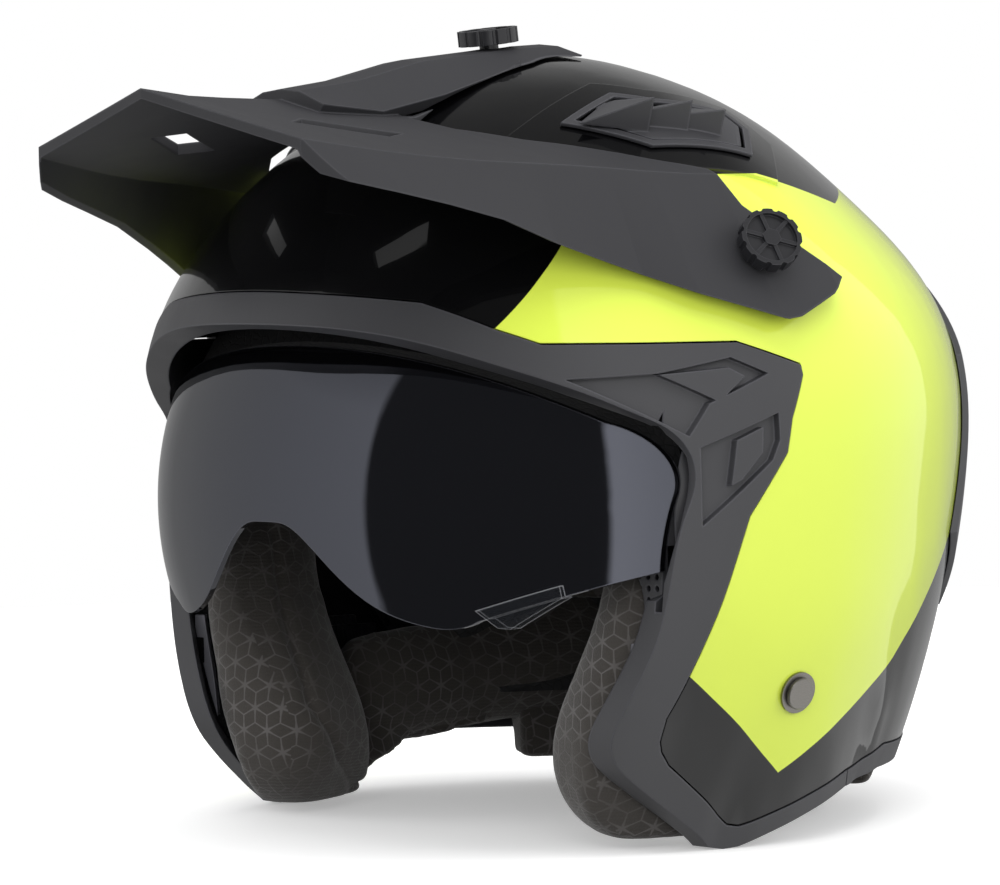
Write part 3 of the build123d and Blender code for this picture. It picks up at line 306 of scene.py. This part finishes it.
@dataclass(frozen=True)
class CubeCloth(Finish):
    """Brushed knit lining with a printed cube pattern, a soft sheen and visible rows of knitting."""

    print_colour: str = "#6E6B6A"
    cell_mm: float = 8.0
    line_mm: float = 0.34
    star_mm: float = 2.4
    knit_mm: float = 1.1
    patch_mm: float = 22.0
    patch_range: tuple[float, float] = (0.35, 0.62)
    faint_share: float = 0.25
    print_share: float = 0.85
    fuzz_gain: float = 1.5
    level_share: float = 0.75
    spoke_taper: tuple[float, float] = (1.5, 0.6)
    ink_edge: tuple[float, float] = (0.6, 1.3)
    knit_rise: float = 0.35
    print_rise: float = 0.3
    knit_wander: float = 1.5
    sheen: float = 0.35
    sheen_roughness: float = 0.5
    specular: float = 0.2
    bump_mm: float = 0.3

    def hexagon(self, tree: Tree, u: Socket, v: Socket) -> tuple[Socket, Socket]:
        """Place inside the nearest cell of a honeycomb whose cells are one unit wide.

        Args:
            tree: Node tree that takes the nodes.
            u: First coordinate, in cells.
            v: Second coordinate, in cells.

        Returns:
            Both coordinates, counted from the middle of the cell.
        """
        pairs = []
        for shift in (0.0, 0.5):
            pair = []
            for socket, pitch in ((u, 1.0), (v, math.sqrt(3))):
                moved = add_node(tree, MATH, socket, shift * pitch, operation="SUBTRACT")
                turn = add_node(tree, MATH, moved, pitch, operation="FLOORED_MODULO")
                pair.append(add_node(tree, MATH, turn, pitch / 2, operation="SUBTRACT"))
            pairs.append(pair)
        reach = []
        for a, b in pairs:
            square = add_node(tree, MATH, a, a, operation="MULTIPLY")
            reach.append(add_node(tree, MATH, b, b, square, operation="MULTIPLY_ADD"))
        far = add_node(tree, MATH, *reach, operation="GREATER_THAN")
        chosen = []
        for first, second in zip(*pairs):
            gap = add_node(tree, MATH, second, first, operation="SUBTRACT")
            chosen.append(add_node(tree, MATH, gap, far, first, operation="MULTIPLY_ADD"))
        return chosen[0], chosen[1]

    def cubes(self, tree: Tree, u: Socket, v: Socket) -> Socket:
        """Share that is 1 on the print: six spokes from each cell's middle, widest where they meet."""
        a, b = self.hexagon(tree, u, v)
        angle = add_node(tree, MATH, a, b, operation="ARCTAN2")
        spot = add_node(tree, "ShaderNodeCombineXYZ", a, b)
        reach = add_node(tree, VECTOR_MATH, spot, operation="LENGTH")
        sixth = math.tau / 6
        fold = add_node(tree, MATH, angle, sixth / 2, operation="ADD")
        fold = add_node(tree, MATH, fold, sixth, operation="FLOORED_MODULO")
        fold = add_node(tree, MATH, fold, sixth / 2, operation="SUBTRACT")
        fold = add_node(tree, MATH, fold, operation="SINE")
        spoke = add_node(tree, MATH, fold, reach, operation="MULTIPLY")
        spoke = add_node(tree, MATH, spoke, operation="ABSOLUTE")
        widths = [self.line_mm / self.cell_mm * share for share in self.spoke_taper]
        taper = add_node(tree, MAP_RANGE, reach, 0.0, self.star_mm / self.cell_mm, *widths)
        near = add_node(tree, MATH, spoke, taper, operation="DIVIDE")
        return add_node(tree, MAP_RANGE, near, *self.ink_edge, 1.0, 0.0)

    def build(self) -> bpy.types.Material:
        """Make the cloth, its print seen from whichever way the surface faces."""
        material, tree, shader = self.start()
        spot = add_node(tree, "ShaderNodeSeparateXYZ", self.place(tree)).node.outputs
        facing = add_node(tree, "ShaderNodeTexCoord").node.outputs["Normal"]
        facing = add_node(tree, VECTOR_MATH, facing, operation="ABSOLUTE")
        facing = add_node(tree, "ShaderNodeSeparateXYZ", facing).node.outputs
        size = 1 / (self.cell_mm * MM)
        cells = [add_node(tree, MATH, spot[axis], size, operation="MULTIPLY") for axis in "XYZ"]
        sideways = add_node(tree, MATH, facing["X"], facing["Y"], operation="GREATER_THAN")
        gap = add_node(tree, MATH, cells[1], cells[0], operation="SUBTRACT")
        across = add_node(tree, MATH, gap, sideways, cells[0], operation="MULTIPLY_ADD")
        level = add_node(tree, MATH, facing["Z"], self.level_share, operation="GREATER_THAN")
        gap = add_node(tree, MATH, cells[1], cells[2], operation="SUBTRACT")
        along = add_node(tree, MATH, gap, level, cells[2], operation="MULTIPLY_ADD")
        gap = add_node(tree, MATH, cells[0], across, operation="SUBTRACT")
        across = add_node(tree, MATH, gap, level, across, operation="MULTIPLY_ADD")
        lines = self.cubes(tree, across, along)
        patch = self.grain(tree, self.patch_mm, detail=1.0)
        fade = add_node(tree, MAP_RANGE, patch, *self.patch_range, self.faint_share, self.print_share)
        inked = add_node(tree, MATH, lines, fade, operation="MULTIPLY")
        fuzz = self.grain(tree, self.grain_mm, detail=4.0)
        base = linear(self.colour)
        bright = tuple(min(c * self.fuzz_gain, 1.0) for c in base[:3]) + (1.0,)
        colour = add_node(tree, MIX, fuzz, base, bright, data_type="RGBA")
        colour = add_node(tree, MIX, inked, colour, linear(self.print_colour), data_type="RGBA")
        tree.links.new(colour, shader.inputs["Base Color"])
        shader.inputs["Sheen Weight"].default_value = self.sheen
        shader.inputs["Sheen Roughness"].default_value = self.sheen_roughness
        shader.inputs["Specular IOR Level"].default_value = self.specular
        rows = add_node(tree, WAVE, named={"Vector": self.place(tree), "Scale": wave_scale(self.knit_mm),
                                           "Distortion": self.knit_wander, "Detail": 1.0},
                        bands_direction="Z").node.outputs["Fac"]
        height = add_node(tree, MATH, rows, self.knit_rise, fuzz, operation="MULTIPLY_ADD")
        height = add_node(tree, MATH, lines, self.print_rise, height, operation="MULTIPLY_ADD")
        bump = add_node(tree, BUMP, named={"Strength": self.grain_depth, "Distance": self.bump_mm * MM,
                                           "Height": height})
        tree.links.new(bump, shader.inputs["Normal"])
        return material


@dataclass(frozen=True)
class Webbing(Finish):
    """Polyester webbing: a tight twill of flat ribs along the strap."""

    rib_mm: float = 1.6
    rib_gain: float = 2.2
    sheen: float = 0.25
    bump_mm: float = 0.4

    def build(self) -> bpy.types.Material:
        """Make the woven strap surface."""
        material, tree, shader = self.start()
        weave = []
        for direction in ("Y", "Z"):
            ribs = add_node(tree, WAVE, named={"Vector": self.place(tree), "Scale": wave_scale(self.rib_mm)},
                            bands_direction=direction)
            weave.append(ribs.node.outputs["Fac"])
        cross = add_node(tree, MATH, *weave, operation="MULTIPLY")
        base = linear(self.colour)
        bright = tuple(c * self.rib_gain for c in base[:3]) + (1.0,)
        colour = add_node(tree, MIX, cross, base, bright, data_type="RGBA")
        tree.links.new(colour, shader.inputs["Base Color"])
        shader.inputs["Sheen Weight"].default_value = self.sheen
        bump = add_node(tree, BUMP, named={"Strength": self.grain_depth, "Distance": self.bump_mm * MM,
                                           "Height": cross})
        tree.links.new(bump, shader.inputs["Normal"])
        return material


@dataclass(frozen=True)
class Lens(Finish):
    """Cast polycarbonate sheet: hard coated, with a dyed or clear body."""

    alpha: float = 1.0
    # Colour of the painted highlight along the rim
    rim_highlight_colour: str = "#4A4A50"
    tint: str = "#DCE0F2"
    haze_mm: float = 30.0
    haze_rise: float = 0.015

    def build(self) -> bpy.types.Material:
        """Make the lens with a trace of haze and a painted highlight along its rim."""
        material, tree, shader = self.start()
        turned = self.rounded(tree)
        # The rim is painted brighter as a highlight
        edge_highlight = self.edge_highlight_share(tree, turned)
        colour = add_node(tree, MIX, edge_highlight, linear(self.colour), linear(self.rim_highlight_colour), data_type="RGBA")
        tree.links.new(colour, shader.inputs["Base Color"])
        haze = self.grain(tree, self.haze_mm, detail=2.0)
        most = self.roughness + self.haze_rise
        rough = add_node(tree, MAP_RANGE, haze, *NOISE_RANGE, self.roughness, most)
        tree.links.new(rough, shader.inputs["Roughness"])
        tree.links.new(turned, shader.inputs["Normal"])
        shader.inputs["Specular Tint"].default_value = linear(self.tint)
        shader.inputs["Alpha"].default_value = self.alpha
        return material


@dataclass(frozen=True)
class BrushedSteel(Finish):
    """Stamped steel, brushed in fine rings, which draws out each highlight."""

    streak_dim: float = 0.75
    ring_wander: float = 6.0
    ring_detail: tuple[float, float] = (4.0, 2.0)
    bump_mm: float = 0.05

    def build(self) -> bpy.types.Material:
        """Make the brushed metal."""
        material, tree, shader = self.start()
        turned = self.rounded(tree)
        detail, detail_scale = self.ring_detail
        rings = add_node(tree, WAVE, named={"Vector": self.place(tree), "Scale": wave_scale(self.grain_mm),
                                            "Distortion": self.ring_wander, "Detail": detail,
                                            "Detail Scale": detail_scale}, wave_type="RINGS")
        streak = rings.node.outputs["Fac"]
        base = linear(self.colour)
        dim = tuple(c * self.streak_dim for c in base[:3]) + (1.0,)
        colour = add_node(tree, MIX, streak, dim, base, data_type="RGBA")
        tree.links.new(colour, shader.inputs["Base Color"])
        bump = add_node(tree, BUMP, named={"Strength": self.grain_depth, "Distance": self.bump_mm * MM,
                                           "Height": streak, "Normal": turned})
        tree.links.new(bump, shader.inputs["Normal"])
        return material


@dataclass(frozen=True)
class BeadFoam(Finish):
    """Black expanded polystyrene: fused beads a few millimetres wide with darker joints."""

    bead_mm: float = 3.2
    joint_share: float = 0.12
    joint_dim: float = 0.4
    bump_mm: float = 0.4

    def build(self) -> bpy.types.Material:
        """Make the fused bead surface."""
        material, tree, shader = self.start()
        beads = add_node(tree, "ShaderNodeTexVoronoi", feature="DISTANCE_TO_EDGE",
                         named={"Vector": self.place(tree), "Scale": 1 / (self.bead_mm * MM)})
        joint = add_node(tree, MAP_RANGE, beads.node.outputs["Distance"], 0.0, self.joint_share, 0.0, 1.0)
        base = linear(self.colour)
        dark = tuple(c * self.joint_dim for c in base[:3]) + (1.0,)
        colour = add_node(tree, MIX, joint, dark, base, data_type="RGBA")
        tree.links.new(colour, shader.inputs["Base Color"])
        bump = add_node(tree, BUMP, named={"Strength": self.grain_depth, "Distance": self.bump_mm * MM,
                                           "Height": joint})
        tree.links.new(bump, shader.inputs["Normal"])
        return material


@dataclass
class Palette:
    """Every finish of the helmet, built once."""

    # Fluorescent yellow over black under clear coat: saturated flanks with sharp reflections
    lacquer: Finish = ShellLacquer("sprayed_abs", "#E8FC5A", 0.22, grain_mm=2.2, grain_depth=0.03,
                                   edge_mm=0.5)
    # Moulded polypropylene: a soft semi-matt grey with edges a little brighter, partly wear and partly a
    # painted highlight
    trim: Finish = Finish("moulded_pp_trim", "#3E3E41", 0.42, grain_mm=0.5, grain_depth=0.06, edge_mm=0.8,
                          edge_wear_and_highlight_colour="#55555A")
    # Spark-eroded ABS: darker and fully matt, without a highlight on its faces; its edges are a little
    # brighter, partly wear and partly a painted highlight
    peak: Finish = Finish("matt_abs_peak", "#333336", 0.62, grain_mm=0.5, grain_depth=0.10, edge_mm=0.9,
                          edge_wear_and_highlight_colour="#4C4C50")
    # Glass-filled nylon: near black, with small glints on the knurls, painted on their edges as a highlight
    # that stands partly for wear
    screw: Finish = Finish("moulded_nylon_screw", "#242427", 0.34, grain_mm=0.5, grain_depth=0.08,
                           edge_mm=0.35, edge_wear_and_highlight_colour="#3C3C40")
    # Brushed polyester knit: dark, soft at its edges, with paler printed lines
    cloth: Finish = CubeCloth("printed_knit", "#403D3A", 0.9, grain_mm=0.5, grain_depth=0.5)
    # Woven polyester: black with fine ribs
    webbing: Finish = Webbing("polyester_webbing", "#161617", 0.8, grain_depth=0.6)
    # Smoke polycarbonate with a mirror coat: almost black, with clear grey reflections and a painted
    # highlight along its rim
    smoke: Finish = Lens("smoke_polycarbonate", "#060607", 0.035, ior=1.95, edge_mm=0.5, alpha=0.97)
    # Clear polycarbonate: a see-through tab that shows by the painted highlight on its rim
    clear: Finish = Lens("clear_polycarbonate", "#2A2C30", 0.06, ior=1.5, edge_mm=0.6, alpha=0.35,
                         rim_highlight_colour="#E8EAF0")
    # Unpainted nylon: plain mid grey, its edges a little brighter, partly wear and partly a painted
    # highlight
    receiver: Finish = Finish("moulded_nylon_plate", "#68686E", 0.38, grain_mm=0.5, edge_mm=0.5,
                              edge_wear_and_highlight_colour="#6E6E76")
    # Black expanded polystyrene: dull, with its beads just visible
    foam: Finish = BeadFoam("expanded_polystyrene", "#19191B", 0.85, grain_depth=0.4)
    # Stamped stainless steel: a dim warm grey with fine rings
    steel: Finish = BrushedSteel("brushed_steel", "#8E8B86", 0.34, metallic=1.0, grain_mm=0.35,
                                 grain_depth=0.2, edge_mm=0.3)
    # Turned brass: yellow metal in the threaded inserts
    brass: Finish = Finish("turned_brass", "#C29A4E", 0.3, metallic=1.0, grain_mm=0.4, grain_depth=0.1,
                           edge_mm=0.3)
    # Coloured nylon: red, so that the release is found at once; its edges a little brighter, partly wear and
    # partly a painted highlight
    lever: Finish = Finish("moulded_nylon_lever", "#A81E1E", 0.35, grain_mm=0.5, edge_mm=0.5,
                           edge_wear_and_highlight_colour="#C23A34")
    made: dict[str, bpy.types.Material] = field(default_factory=dict)

    def get(self, finish: Finish) -> bpy.types.Material:
        """Material of a finish, built at its first use."""
        if finish.name not in self.made:
            self.made[finish.name] = finish.build()
        return self.made[finish.name]


def dress(nodes: Iterable[str], material: bpy.types.Material) -> None:
    """Give CAD nodes a material, their meshes left as they are.

    Args:
        nodes: Names of the nodes.
        material: Material for every face.
    """
    for name in nodes:
        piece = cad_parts[name]
        if not piece.material_slots:
            piece.data.materials.append(material)
        for place in piece.material_slots:
            place.material = material
        log.info("dressed %s with %s", name, material.name)


def new_piece(name: str, form: bmesh.types.BMesh, material: bpy.types.Material) -> bpy.types.Object:
    """Turn a finished bmesh into a piece of the scene.

    Args:
        name: Name of the piece.
        form: Shape in metres, in the frame of the helmet. It is freed here.
        material: Material for every face.

    Returns:
        The new object, at the origin.
    """
    mesh = bpy.data.meshes.new(name)
    form.to_mesh(mesh)
    form.free()
    mesh.materials.append(material)
    piece = bpy.data.objects.new(name, mesh)
    bpy.context.scene.collection.objects.link(piece)
    for face in mesh.polygons:
        face.use_smooth = True
    return piece


def merged_copy(node: str) -> bmesh.types.BMesh:
    """Copy of a CAD node's mesh with its loose triangles joined."""
    form = bmesh.new()
    form.from_mesh(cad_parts[node].data)
    bmesh.ops.remove_doubles(form, verts=form.verts, dist=MERGE_MM * MM)
    return form


def apply_modifier(piece: bpy.types.Object, kind: str, **settings: object) -> None:
    """Add one modifier, set it and make its result the piece's mesh.

    Args:
        piece: Object to change.
        kind: Blender's identifier of the modifier's type.
        settings: Properties of the modifier.
    """
    modifier = piece.modifiers.new(kind.lower(), kind)
    for key, value in settings.items():
        setattr(modifier, key, value)
    bake_modifiers(piece)


def bake_modifiers(piece: bpy.types.Object) -> None:
    """Make the evaluated mesh the piece's own and drop its modifiers."""
    scene_graph = bpy.context.evaluated_depsgraph_get()
    mesh = bpy.data.meshes.new_from_object(piece.evaluated_get(scene_graph))
    piece.modifiers.clear()
    piece.data = mesh


@dataclass
class StuffedPad:
    """Sewn pad made from a CAD solid: shrunk, remeshed, puffed out by cloth and then given its seams."""

    node: str
    body: str = "helmet"
    voxel_mm: float = 4.0
    shrink_mm: float = 1.2
    swell_mm: float = 2.6
    pressure: float = 4.0
    stiffness: float = 12.0
    frames: int = 20
    fill: float = 0.75
    tail_mm: tuple[tuple[float, float, float], ...] = ()
    bead_mm: tuple[float, float, float] = (9.0, 12.0, 20.0)
    bead_steps: int = 8

    def lengthen(self, form: bmesh.types.BMesh) -> None:
        """Add the padding's own tail, a row of flat beads that the remesh makes one with the rest.

        Args:
            form: Shape of the pad, in metres.
        """
        size = Matrix.Diagonal((*(c * MM for c in self.bead_mm), 1.0))
        for start, end in zip(self.tail_mm, self.tail_mm[1:]):
            for step in range(self.bead_steps):
                spot = Vector(start).lerp(Vector(end), step / self.bead_steps) * MM
                place = Matrix.Translation(spot) @ size
                bmesh.ops.create_icosphere(form, subdivisions=3, radius=1.0, matrix=place)

    def puff(self, piece: bpy.types.Object) -> None:
        """Swell the pad with Cloth, each point held near where it began.

        Args:
            piece: Remeshed pad.
        """
        rest = [vert.co.copy() for vert in piece.data.vertices]
        cloth = piece.modifiers.new("puff", "CLOTH")
        cloth.settings.use_pressure = True
        cloth.settings.uniform_pressure_force = self.pressure
        cloth.settings.effector_weights.gravity = 0.0
        cloth.settings.tension_stiffness = self.stiffness
        cloth.point_cache.frame_end = self.frames
        for step in range(1, self.frames + 1):
            bpy.context.scene.frame_set(step)
        bake_modifiers(piece)
        bpy.context.scene.frame_set(1)
        for vert, start in zip(piece.data.vertices, rest):
            way = vert.co - start
            if way.length > self.swell_mm * MM:
                vert.co = start + way.normalized() * self.swell_mm * MM

    def make(self, material: bpy.types.Material, carve: Callable[[bpy.types.Object], None] | None = None
             ) -> bpy.types.Object:
        """Build the pad in place of its CAD solid.

        Args:
            material: Cloth of the pad.
            carve: Work that sinks the seams into the finished surface.

        Returns:
            The finished pad.
        """
        form = merged_copy(self.node)
        bmesh.ops.recalc_face_normals(form, faces=form.faces)
        form.normal_update()
        for vert in form.verts:
            vert.co -= vert.normal * self.shrink_mm * MM
        self.lengthen(form)
        piece = new_piece(f"{self.node}_sewn", form, material)
        apply_modifier(piece, "REMESH", mode="VOXEL", voxel_size=self.voxel_mm * MM)
        self.puff(piece)
        apply_modifier(piece, "SUBSURF", levels=1, render_levels=1)
        if carve:
            carve(piece)
        for face in piece.data.polygons:
            face.use_smooth = True
        if not piece.data.materials:
            piece.data.materials.append(material)
        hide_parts(self.node)
        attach(piece, self.body)
        log.info("sewed %s: %d faces", piece.name, len(piece.data.polygons))
        return piece


@dataclass
class Comfort:
    """Soft parts that touch the wearer."""

    palette: Palette
    seam_depth_mm: float = 2.0
    seam_width_mm: float = 1.6
    tail_mm: tuple[tuple[float, float, float], ...] = (
        (88.0, 8.0, 32.0), (79.0, 46.0, 37.5), (71.0, 60.0, 40.0), (54.0, 82.0, 44.0))
    pad_seam_mm: tuple[tuple[float, float], ...] = (
        (-38.0, 88.0), (-43.0, 36.0), (-30.0, 17.0), (-13.5, 5.5), (-0.6, 7.0), (15.0, 14.0), (30.0, 20.0),
        (48.0, 23.0))

    def sink(self, piece: bpy.types.Object, gap: Callable[[Vector], float]) -> None:
        """Sink a sewn seam into a pad.

        Args:
            piece: Pad whose surface is moved.
            gap: Distance of a point from the seam's own surface, in metres.
        """
        mesh = piece.data
        normals = [vert.normal.copy() for vert in mesh.vertices]
        for vert, normal in zip(mesh.vertices, normals):
            share = gap(vert.co) / (self.seam_width_mm * MM)
            vert.co -= normal * self.seam_depth_mm * MM * math.exp(-share * share)

    def pad_seam(self, spot: Vector) -> float:
        """Distance in side view of a point from the seam that joins a cheek pad's face to its rim."""
        flat = spot.yz
        gaps = []
        for start, end in zip(self.pad_seam_mm, self.pad_seam_mm[1:]):
            first, last = Vector(start) * MM, Vector(end) * MM
            near, share = geometry.intersect_point_line(flat, first, last)
            near = first.lerp(last, min(max(share, 0.0), 1.0))
            gaps.append((flat - near.xy).length)
        return min(gaps)

    def build(self) -> None:
        """Sew the cheek pads, the crown lining and the neck roll."""
        cloth = self.palette.get(self.palette.cloth)
        for side in Side:
            # The buckle's lever swings beside the front of the left tail
            path = self.tail_mm if side is Side.RIGHT else self.tail_mm[1:]
            tail = tuple((side.value * x, y, z) for x, y, z in path)
            pad = StuffedPad(f"{side.word}_cheek_pad", voxel_mm=2.6, tail_mm=tail)
            pad.make(cloth, lambda piece: self.sink(piece, self.pad_seam))
        StuffedPad("crown_liner", voxel_mm=4.0, shrink_mm=0.8, swell_mm=0.8).make(cloth)
        StuffedPad("neck_roll", voxel_mm=2.6, shrink_mm=1.0, swell_mm=1.6).make(cloth)


@dataclass
class Retention:
    """Chin straps, their buckle, the rivets and the plates that anchor them."""

    palette: Palette
    edge_mm: float = 0.35
    sharp_turn: float = 0.9

    def strap(self, side: Side) -> bpy.types.Object:
        """Woven strap in place of its CAD solid, with softened edges."""
        node = f"{side.word}_chin_strap"
        form = merged_copy(node)
        sharp = [edge for edge in form.edges
                 if len(edge.link_faces) == 2 and edge.calc_face_angle(0.0) > self.sharp_turn]
        bmesh.ops.bevel(form, geom=sharp, offset=self.edge_mm * MM, segments=2, profile=0.5, affect="EDGES",
                        material=-1)
        piece = new_piece(f"{side.word}_strap_webbing", form, self.palette.get(self.palette.webbing))
        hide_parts(node)
        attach(piece, "helmet")
        return piece

    def build(self) -> None:
        """Dress the metal and moulded parts and weave the straps."""
        palette = self.palette
        dress(["left_strap_rivet", "right_strap_rivet", "strap_anchors"], palette.get(palette.steel))
        dress(["buckle_body", "buckle_tongue"], palette.get(palette.screw))
        dress(["buckle_lever"], palette.get(palette.lever))
        for side in Side:
            piece = self.strap(side)
            log.info("wove %s", piece.name)


@dataclass
class Shell:
    """Painted shell with its trims, liner and rear cover."""

    palette: Palette

    def build(self) -> None:
        """Dress the carried pieces."""
        palette = self.palette
        dress(["outer_shell"], palette.get(palette.lacquer))
        dress(["face_trim", "neck_trim", "rear_vent_cover"], palette.get(palette.trim))
        dress(["left_vent_frame", "right_vent_frame", "left_vent_slider", "right_vent_slider"],
              palette.get(palette.trim))
        dress(["eps_liner", "left_cheek_block", "right_cheek_block"], palette.get(palette.foam))
        dress(["left_chin_guard_receiver", "right_chin_guard_receiver"], palette.get(palette.receiver))
        dress(["left_ear_mesh", "right_ear_mesh"], palette.get(palette.trim))


@dataclass
class PeakSet:
    """Peak with its three knurled screws and their nuts."""

    palette: Palette

    def build(self) -> None:
        """Dress the peak, its screws and its nuts."""
        palette = self.palette
        dress(["peak"], palette.get(palette.peak))
        dress(["left_peak_screw", "right_peak_screw", "top_peak_screw"], palette.get(palette.screw))
        dress(["peak_nuts"], palette.get(palette.brass))


@dataclass
class Visor:
    """Drop-down lens with its tab, arms and pivots."""

    palette: Palette

    def build(self) -> None:
        """Dress the lens and what carries it."""
        palette = self.palette
        dress(["sun_visor"], palette.get(palette.smoke))
        dress(["visor_tab"], palette.get(palette.clear))
        dress(["left_visor_arm", "right_visor_arm", "left_visor_pivot", "right_visor_pivot"],
              palette.get(palette.trim))


@dataclass
class Studio:
    """Pale floor, white surround, soft lamps and the camera at the photograph's angle."""

    azimuth: float = 45.133
    elevation: float = 2.145
    roll: float = 1.148
    distance_mm: float = 1554.2
    target_mm: tuple[float, float, float] = (0.0, 16.84, 130.0)
    focal_px: float = 5027.01
    centre_px: tuple[float, float] = (567.42, 393.08)
    frame_px: tuple[float, float] = (1000.0, 885.0)
    sensor_mm: float = 36.0
    floor_mm: float = 900.0
    fill_light: float = 0.71
    dark_band: tuple[float, float] = (-14.0, 51.0)
    band_edge: float = 1.0
    band_level: float = 0.09
    sky_share: float = 0.5
    sky_rise: tuple[float, float] = (0.45, 0.75)
    left_share: float = 0.35
    left_end: float = -100.0
    right_gain: float = 1.7
    right_fade: tuple[float, float] = (4.0, 40.0)
    floor_colour: str = "#F2F2F2"
    bounce_colour: str = "#A4A4A4"
    floor_glow: float = 0.35
    clip_m: tuple[float, float] = (0.05, 60.0)
    lamps: tuple[tuple[str, tuple[float, float, float], float, float], ...] = (
        ("overhead_box", (0.1, -0.1, 1.6), 1.4, 15.0), ("front_box", (1.3, -1.5, 0.9), 1.2, 12.0),
        ("left_box", (-1.4, -0.9, 0.7), 1.0, 5.0), ("rear_box", (1.5, 1.2, 0.9), 1.0, 11.0))

    def camera(self) -> None:
        """Put the camera where the photograph was taken."""
        a, e, r = (math.radians(v) for v in (self.azimuth, self.elevation, self.roll))
        back = Vector((math.sin(a) * math.cos(e), -math.cos(a) * math.cos(e), math.sin(e)))
        right = Vector((math.cos(a), math.sin(a), 0.0))
        up = back.cross(right)
        across = right * math.cos(r) - up * math.sin(r)
        upright = right * math.sin(r) + up * math.cos(r)
        data = bpy.data.cameras.new("camera")
        data.sensor_width = self.sensor_mm
        data.lens = self.focal_px * self.sensor_mm / self.frame_px[0]
        data.shift_x = -(self.centre_px[0] - self.frame_px[0] / 2) / self.frame_px[0]
        data.shift_y = (self.centre_px[1] - self.frame_px[1] / 2) / self.frame_px[0]
        data.clip_start, data.clip_end = self.clip_m
        camera = bpy.data.objects.new("camera", data)
        turn = Matrix((across, upright, back)).transposed()
        place = (Vector(self.target_mm) + back * self.distance_mm) * MM
        camera.matrix_world = Matrix.Translation(place) @ turn.to_4x4()
        bpy.context.scene.collection.objects.link(camera)
        bpy.context.scene.camera = camera

    def lamp(self, name: str, place: Sequence[float], size: float, power: float) -> None:
        """Hang one square soft lamp that points at the helmet.

        Args:
            name: Name of the lamp.
            place: Where it hangs, in metres.
            size: Side of its square, in metres.
            power: Its power in watts.
        """
        data = bpy.data.lights.new(name, "AREA")
        data.size, data.energy = size, power
        lamp = bpy.data.objects.new(name, data)
        lamp.location = place
        aim = Vector(self.target_mm) * MM - Vector(place)
        lamp.rotation_euler = aim.to_track_quat("-Z", "Y").to_euler()
        lamp.visible_camera = False
        lamp.visible_glossy = False
        bpy.context.scene.collection.objects.link(lamp)

    def world(self) -> None:
        """White surround for the camera, plain fill for the surfaces and dark flags in the reflections."""
        world = bpy.data.worlds.new("studio")
        bpy.context.scene.world = world
        world.use_nodes = True
        tree = world.node_tree
        tree.nodes.clear()
        rays = add_node(tree, "ShaderNodeLightPath").node.outputs
        way = add_node(tree, "ShaderNodeTexCoord").node.outputs["Generated"]
        parts = add_node(tree, "ShaderNodeSeparateXYZ", way).node.outputs
        ahead = add_node(tree, MATH, parts["Y"], -1.0, operation="MULTIPLY")
        azimuth = add_node(tree, MATH, parts["X"], ahead, operation="ARCTAN2")
        azimuth = add_node(tree, MATH, azimuth, 180 / math.pi, operation="MULTIPLY")
        (low, high), edge = self.dark_band, self.band_edge
        past = add_node(tree, MAP_RANGE, azimuth, low - edge, low + edge, 0.0, 1.0)
        before = add_node(tree, MAP_RANGE, azimuth, high - edge, high + edge, 1.0, 0.0)
        band = add_node(tree, MATH, past, before, operation="MULTIPLY")
        sky = add_node(tree, MAP_RANGE, parts["Z"], *self.sky_rise, 1.0, self.sky_share)
        left = add_node(tree, MAP_RANGE, azimuth, self.left_end, low, self.left_share, 1.0)
        right = add_node(tree, MAP_RANGE, azimuth, low, high, 1.0, self.right_gain)
        fade = [high + angle for angle in self.right_fade]
        past_right = add_node(tree, MAP_RANGE, azimuth, *fade, 1.0, 1 / self.right_gain)
        open_side = add_node(tree, MATH, sky, left, operation="MULTIPLY")
        for share in (right, past_right):
            open_side = add_node(tree, MATH, open_side, share, operation="MULTIPLY")
        mirror = add_node(tree, MAP_RANGE, band, 0.0, 1.0, open_side, self.band_level)
        seen = add_node(tree, MATH, rays["Is Camera Ray"], rays["Is Transmission Ray"], operation="MAXIMUM")
        shiny = add_node(tree, MATH, rays["Is Glossy Ray"], mirror, operation="MULTIPLY")
        plain = add_node(tree, MATH, 1.0, rays["Is Glossy Ray"], operation="SUBTRACT")
        level = add_node(tree, MATH, plain, self.fill_light, shiny, operation="MULTIPLY_ADD")
        level = add_node(tree, MATH, seen, level, operation="MAXIMUM")
        light = add_node(tree, "ShaderNodeBackground", (1.0, 1.0, 1.0, 1.0), level)
        add_node(tree, "ShaderNodeOutputWorld", light)

    def floor(self) -> None:
        """Lay a pale round floor that is white where it is lit and keeps the helmet's shadow."""
        form = bmesh.new()
        bmesh.ops.create_circle(form, cap_ends=True, segments=96, radius=self.floor_mm * MM)
        material = bpy.data.materials.new("pale_floor")
        material.use_nodes = True
        tree = material.node_tree
        tree.nodes.clear()
        rays = add_node(tree, "ShaderNodeLightPath").node.outputs
        matt = add_node(tree, "ShaderNodeBsdfDiffuse", linear(self.floor_colour))
        dull = add_node(tree, "ShaderNodeBsdfDiffuse", linear(self.bounce_colour))
        glow = add_node(tree, "ShaderNodeEmission", (1.0, 1.0, 1.0, 1.0), self.floor_glow)
        both = add_node(tree, "ShaderNodeAddShader", matt, glow)
        shown = add_node(tree, "ShaderNodeMixShader", rays["Is Camera Ray"], dull, both)
        add_node(tree, "ShaderNodeOutputMaterial", shown)
        piece = new_piece("studio_floor", form, material)
        piece.visible_glossy = False

    def build(self) -> None:
        """Set the whole studio."""
        self.camera()
        self.world()
        self.floor()
        for lamp in self.lamps:
            self.lamp(*lamp)
        bpy.context.scene.view_settings.view_transform = "Standard"


def main() -> None:
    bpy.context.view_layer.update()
    palette = Palette()
    assemblies = [Shell(palette), PeakSet(palette), Visor(palette), Retention(palette), Comfort(palette),
                  Studio()]
    for assembly in assemblies:
        assembly.build()
        log.info("built %s", type(assembly).__name__)


if __name__ == "__main__":
    main()
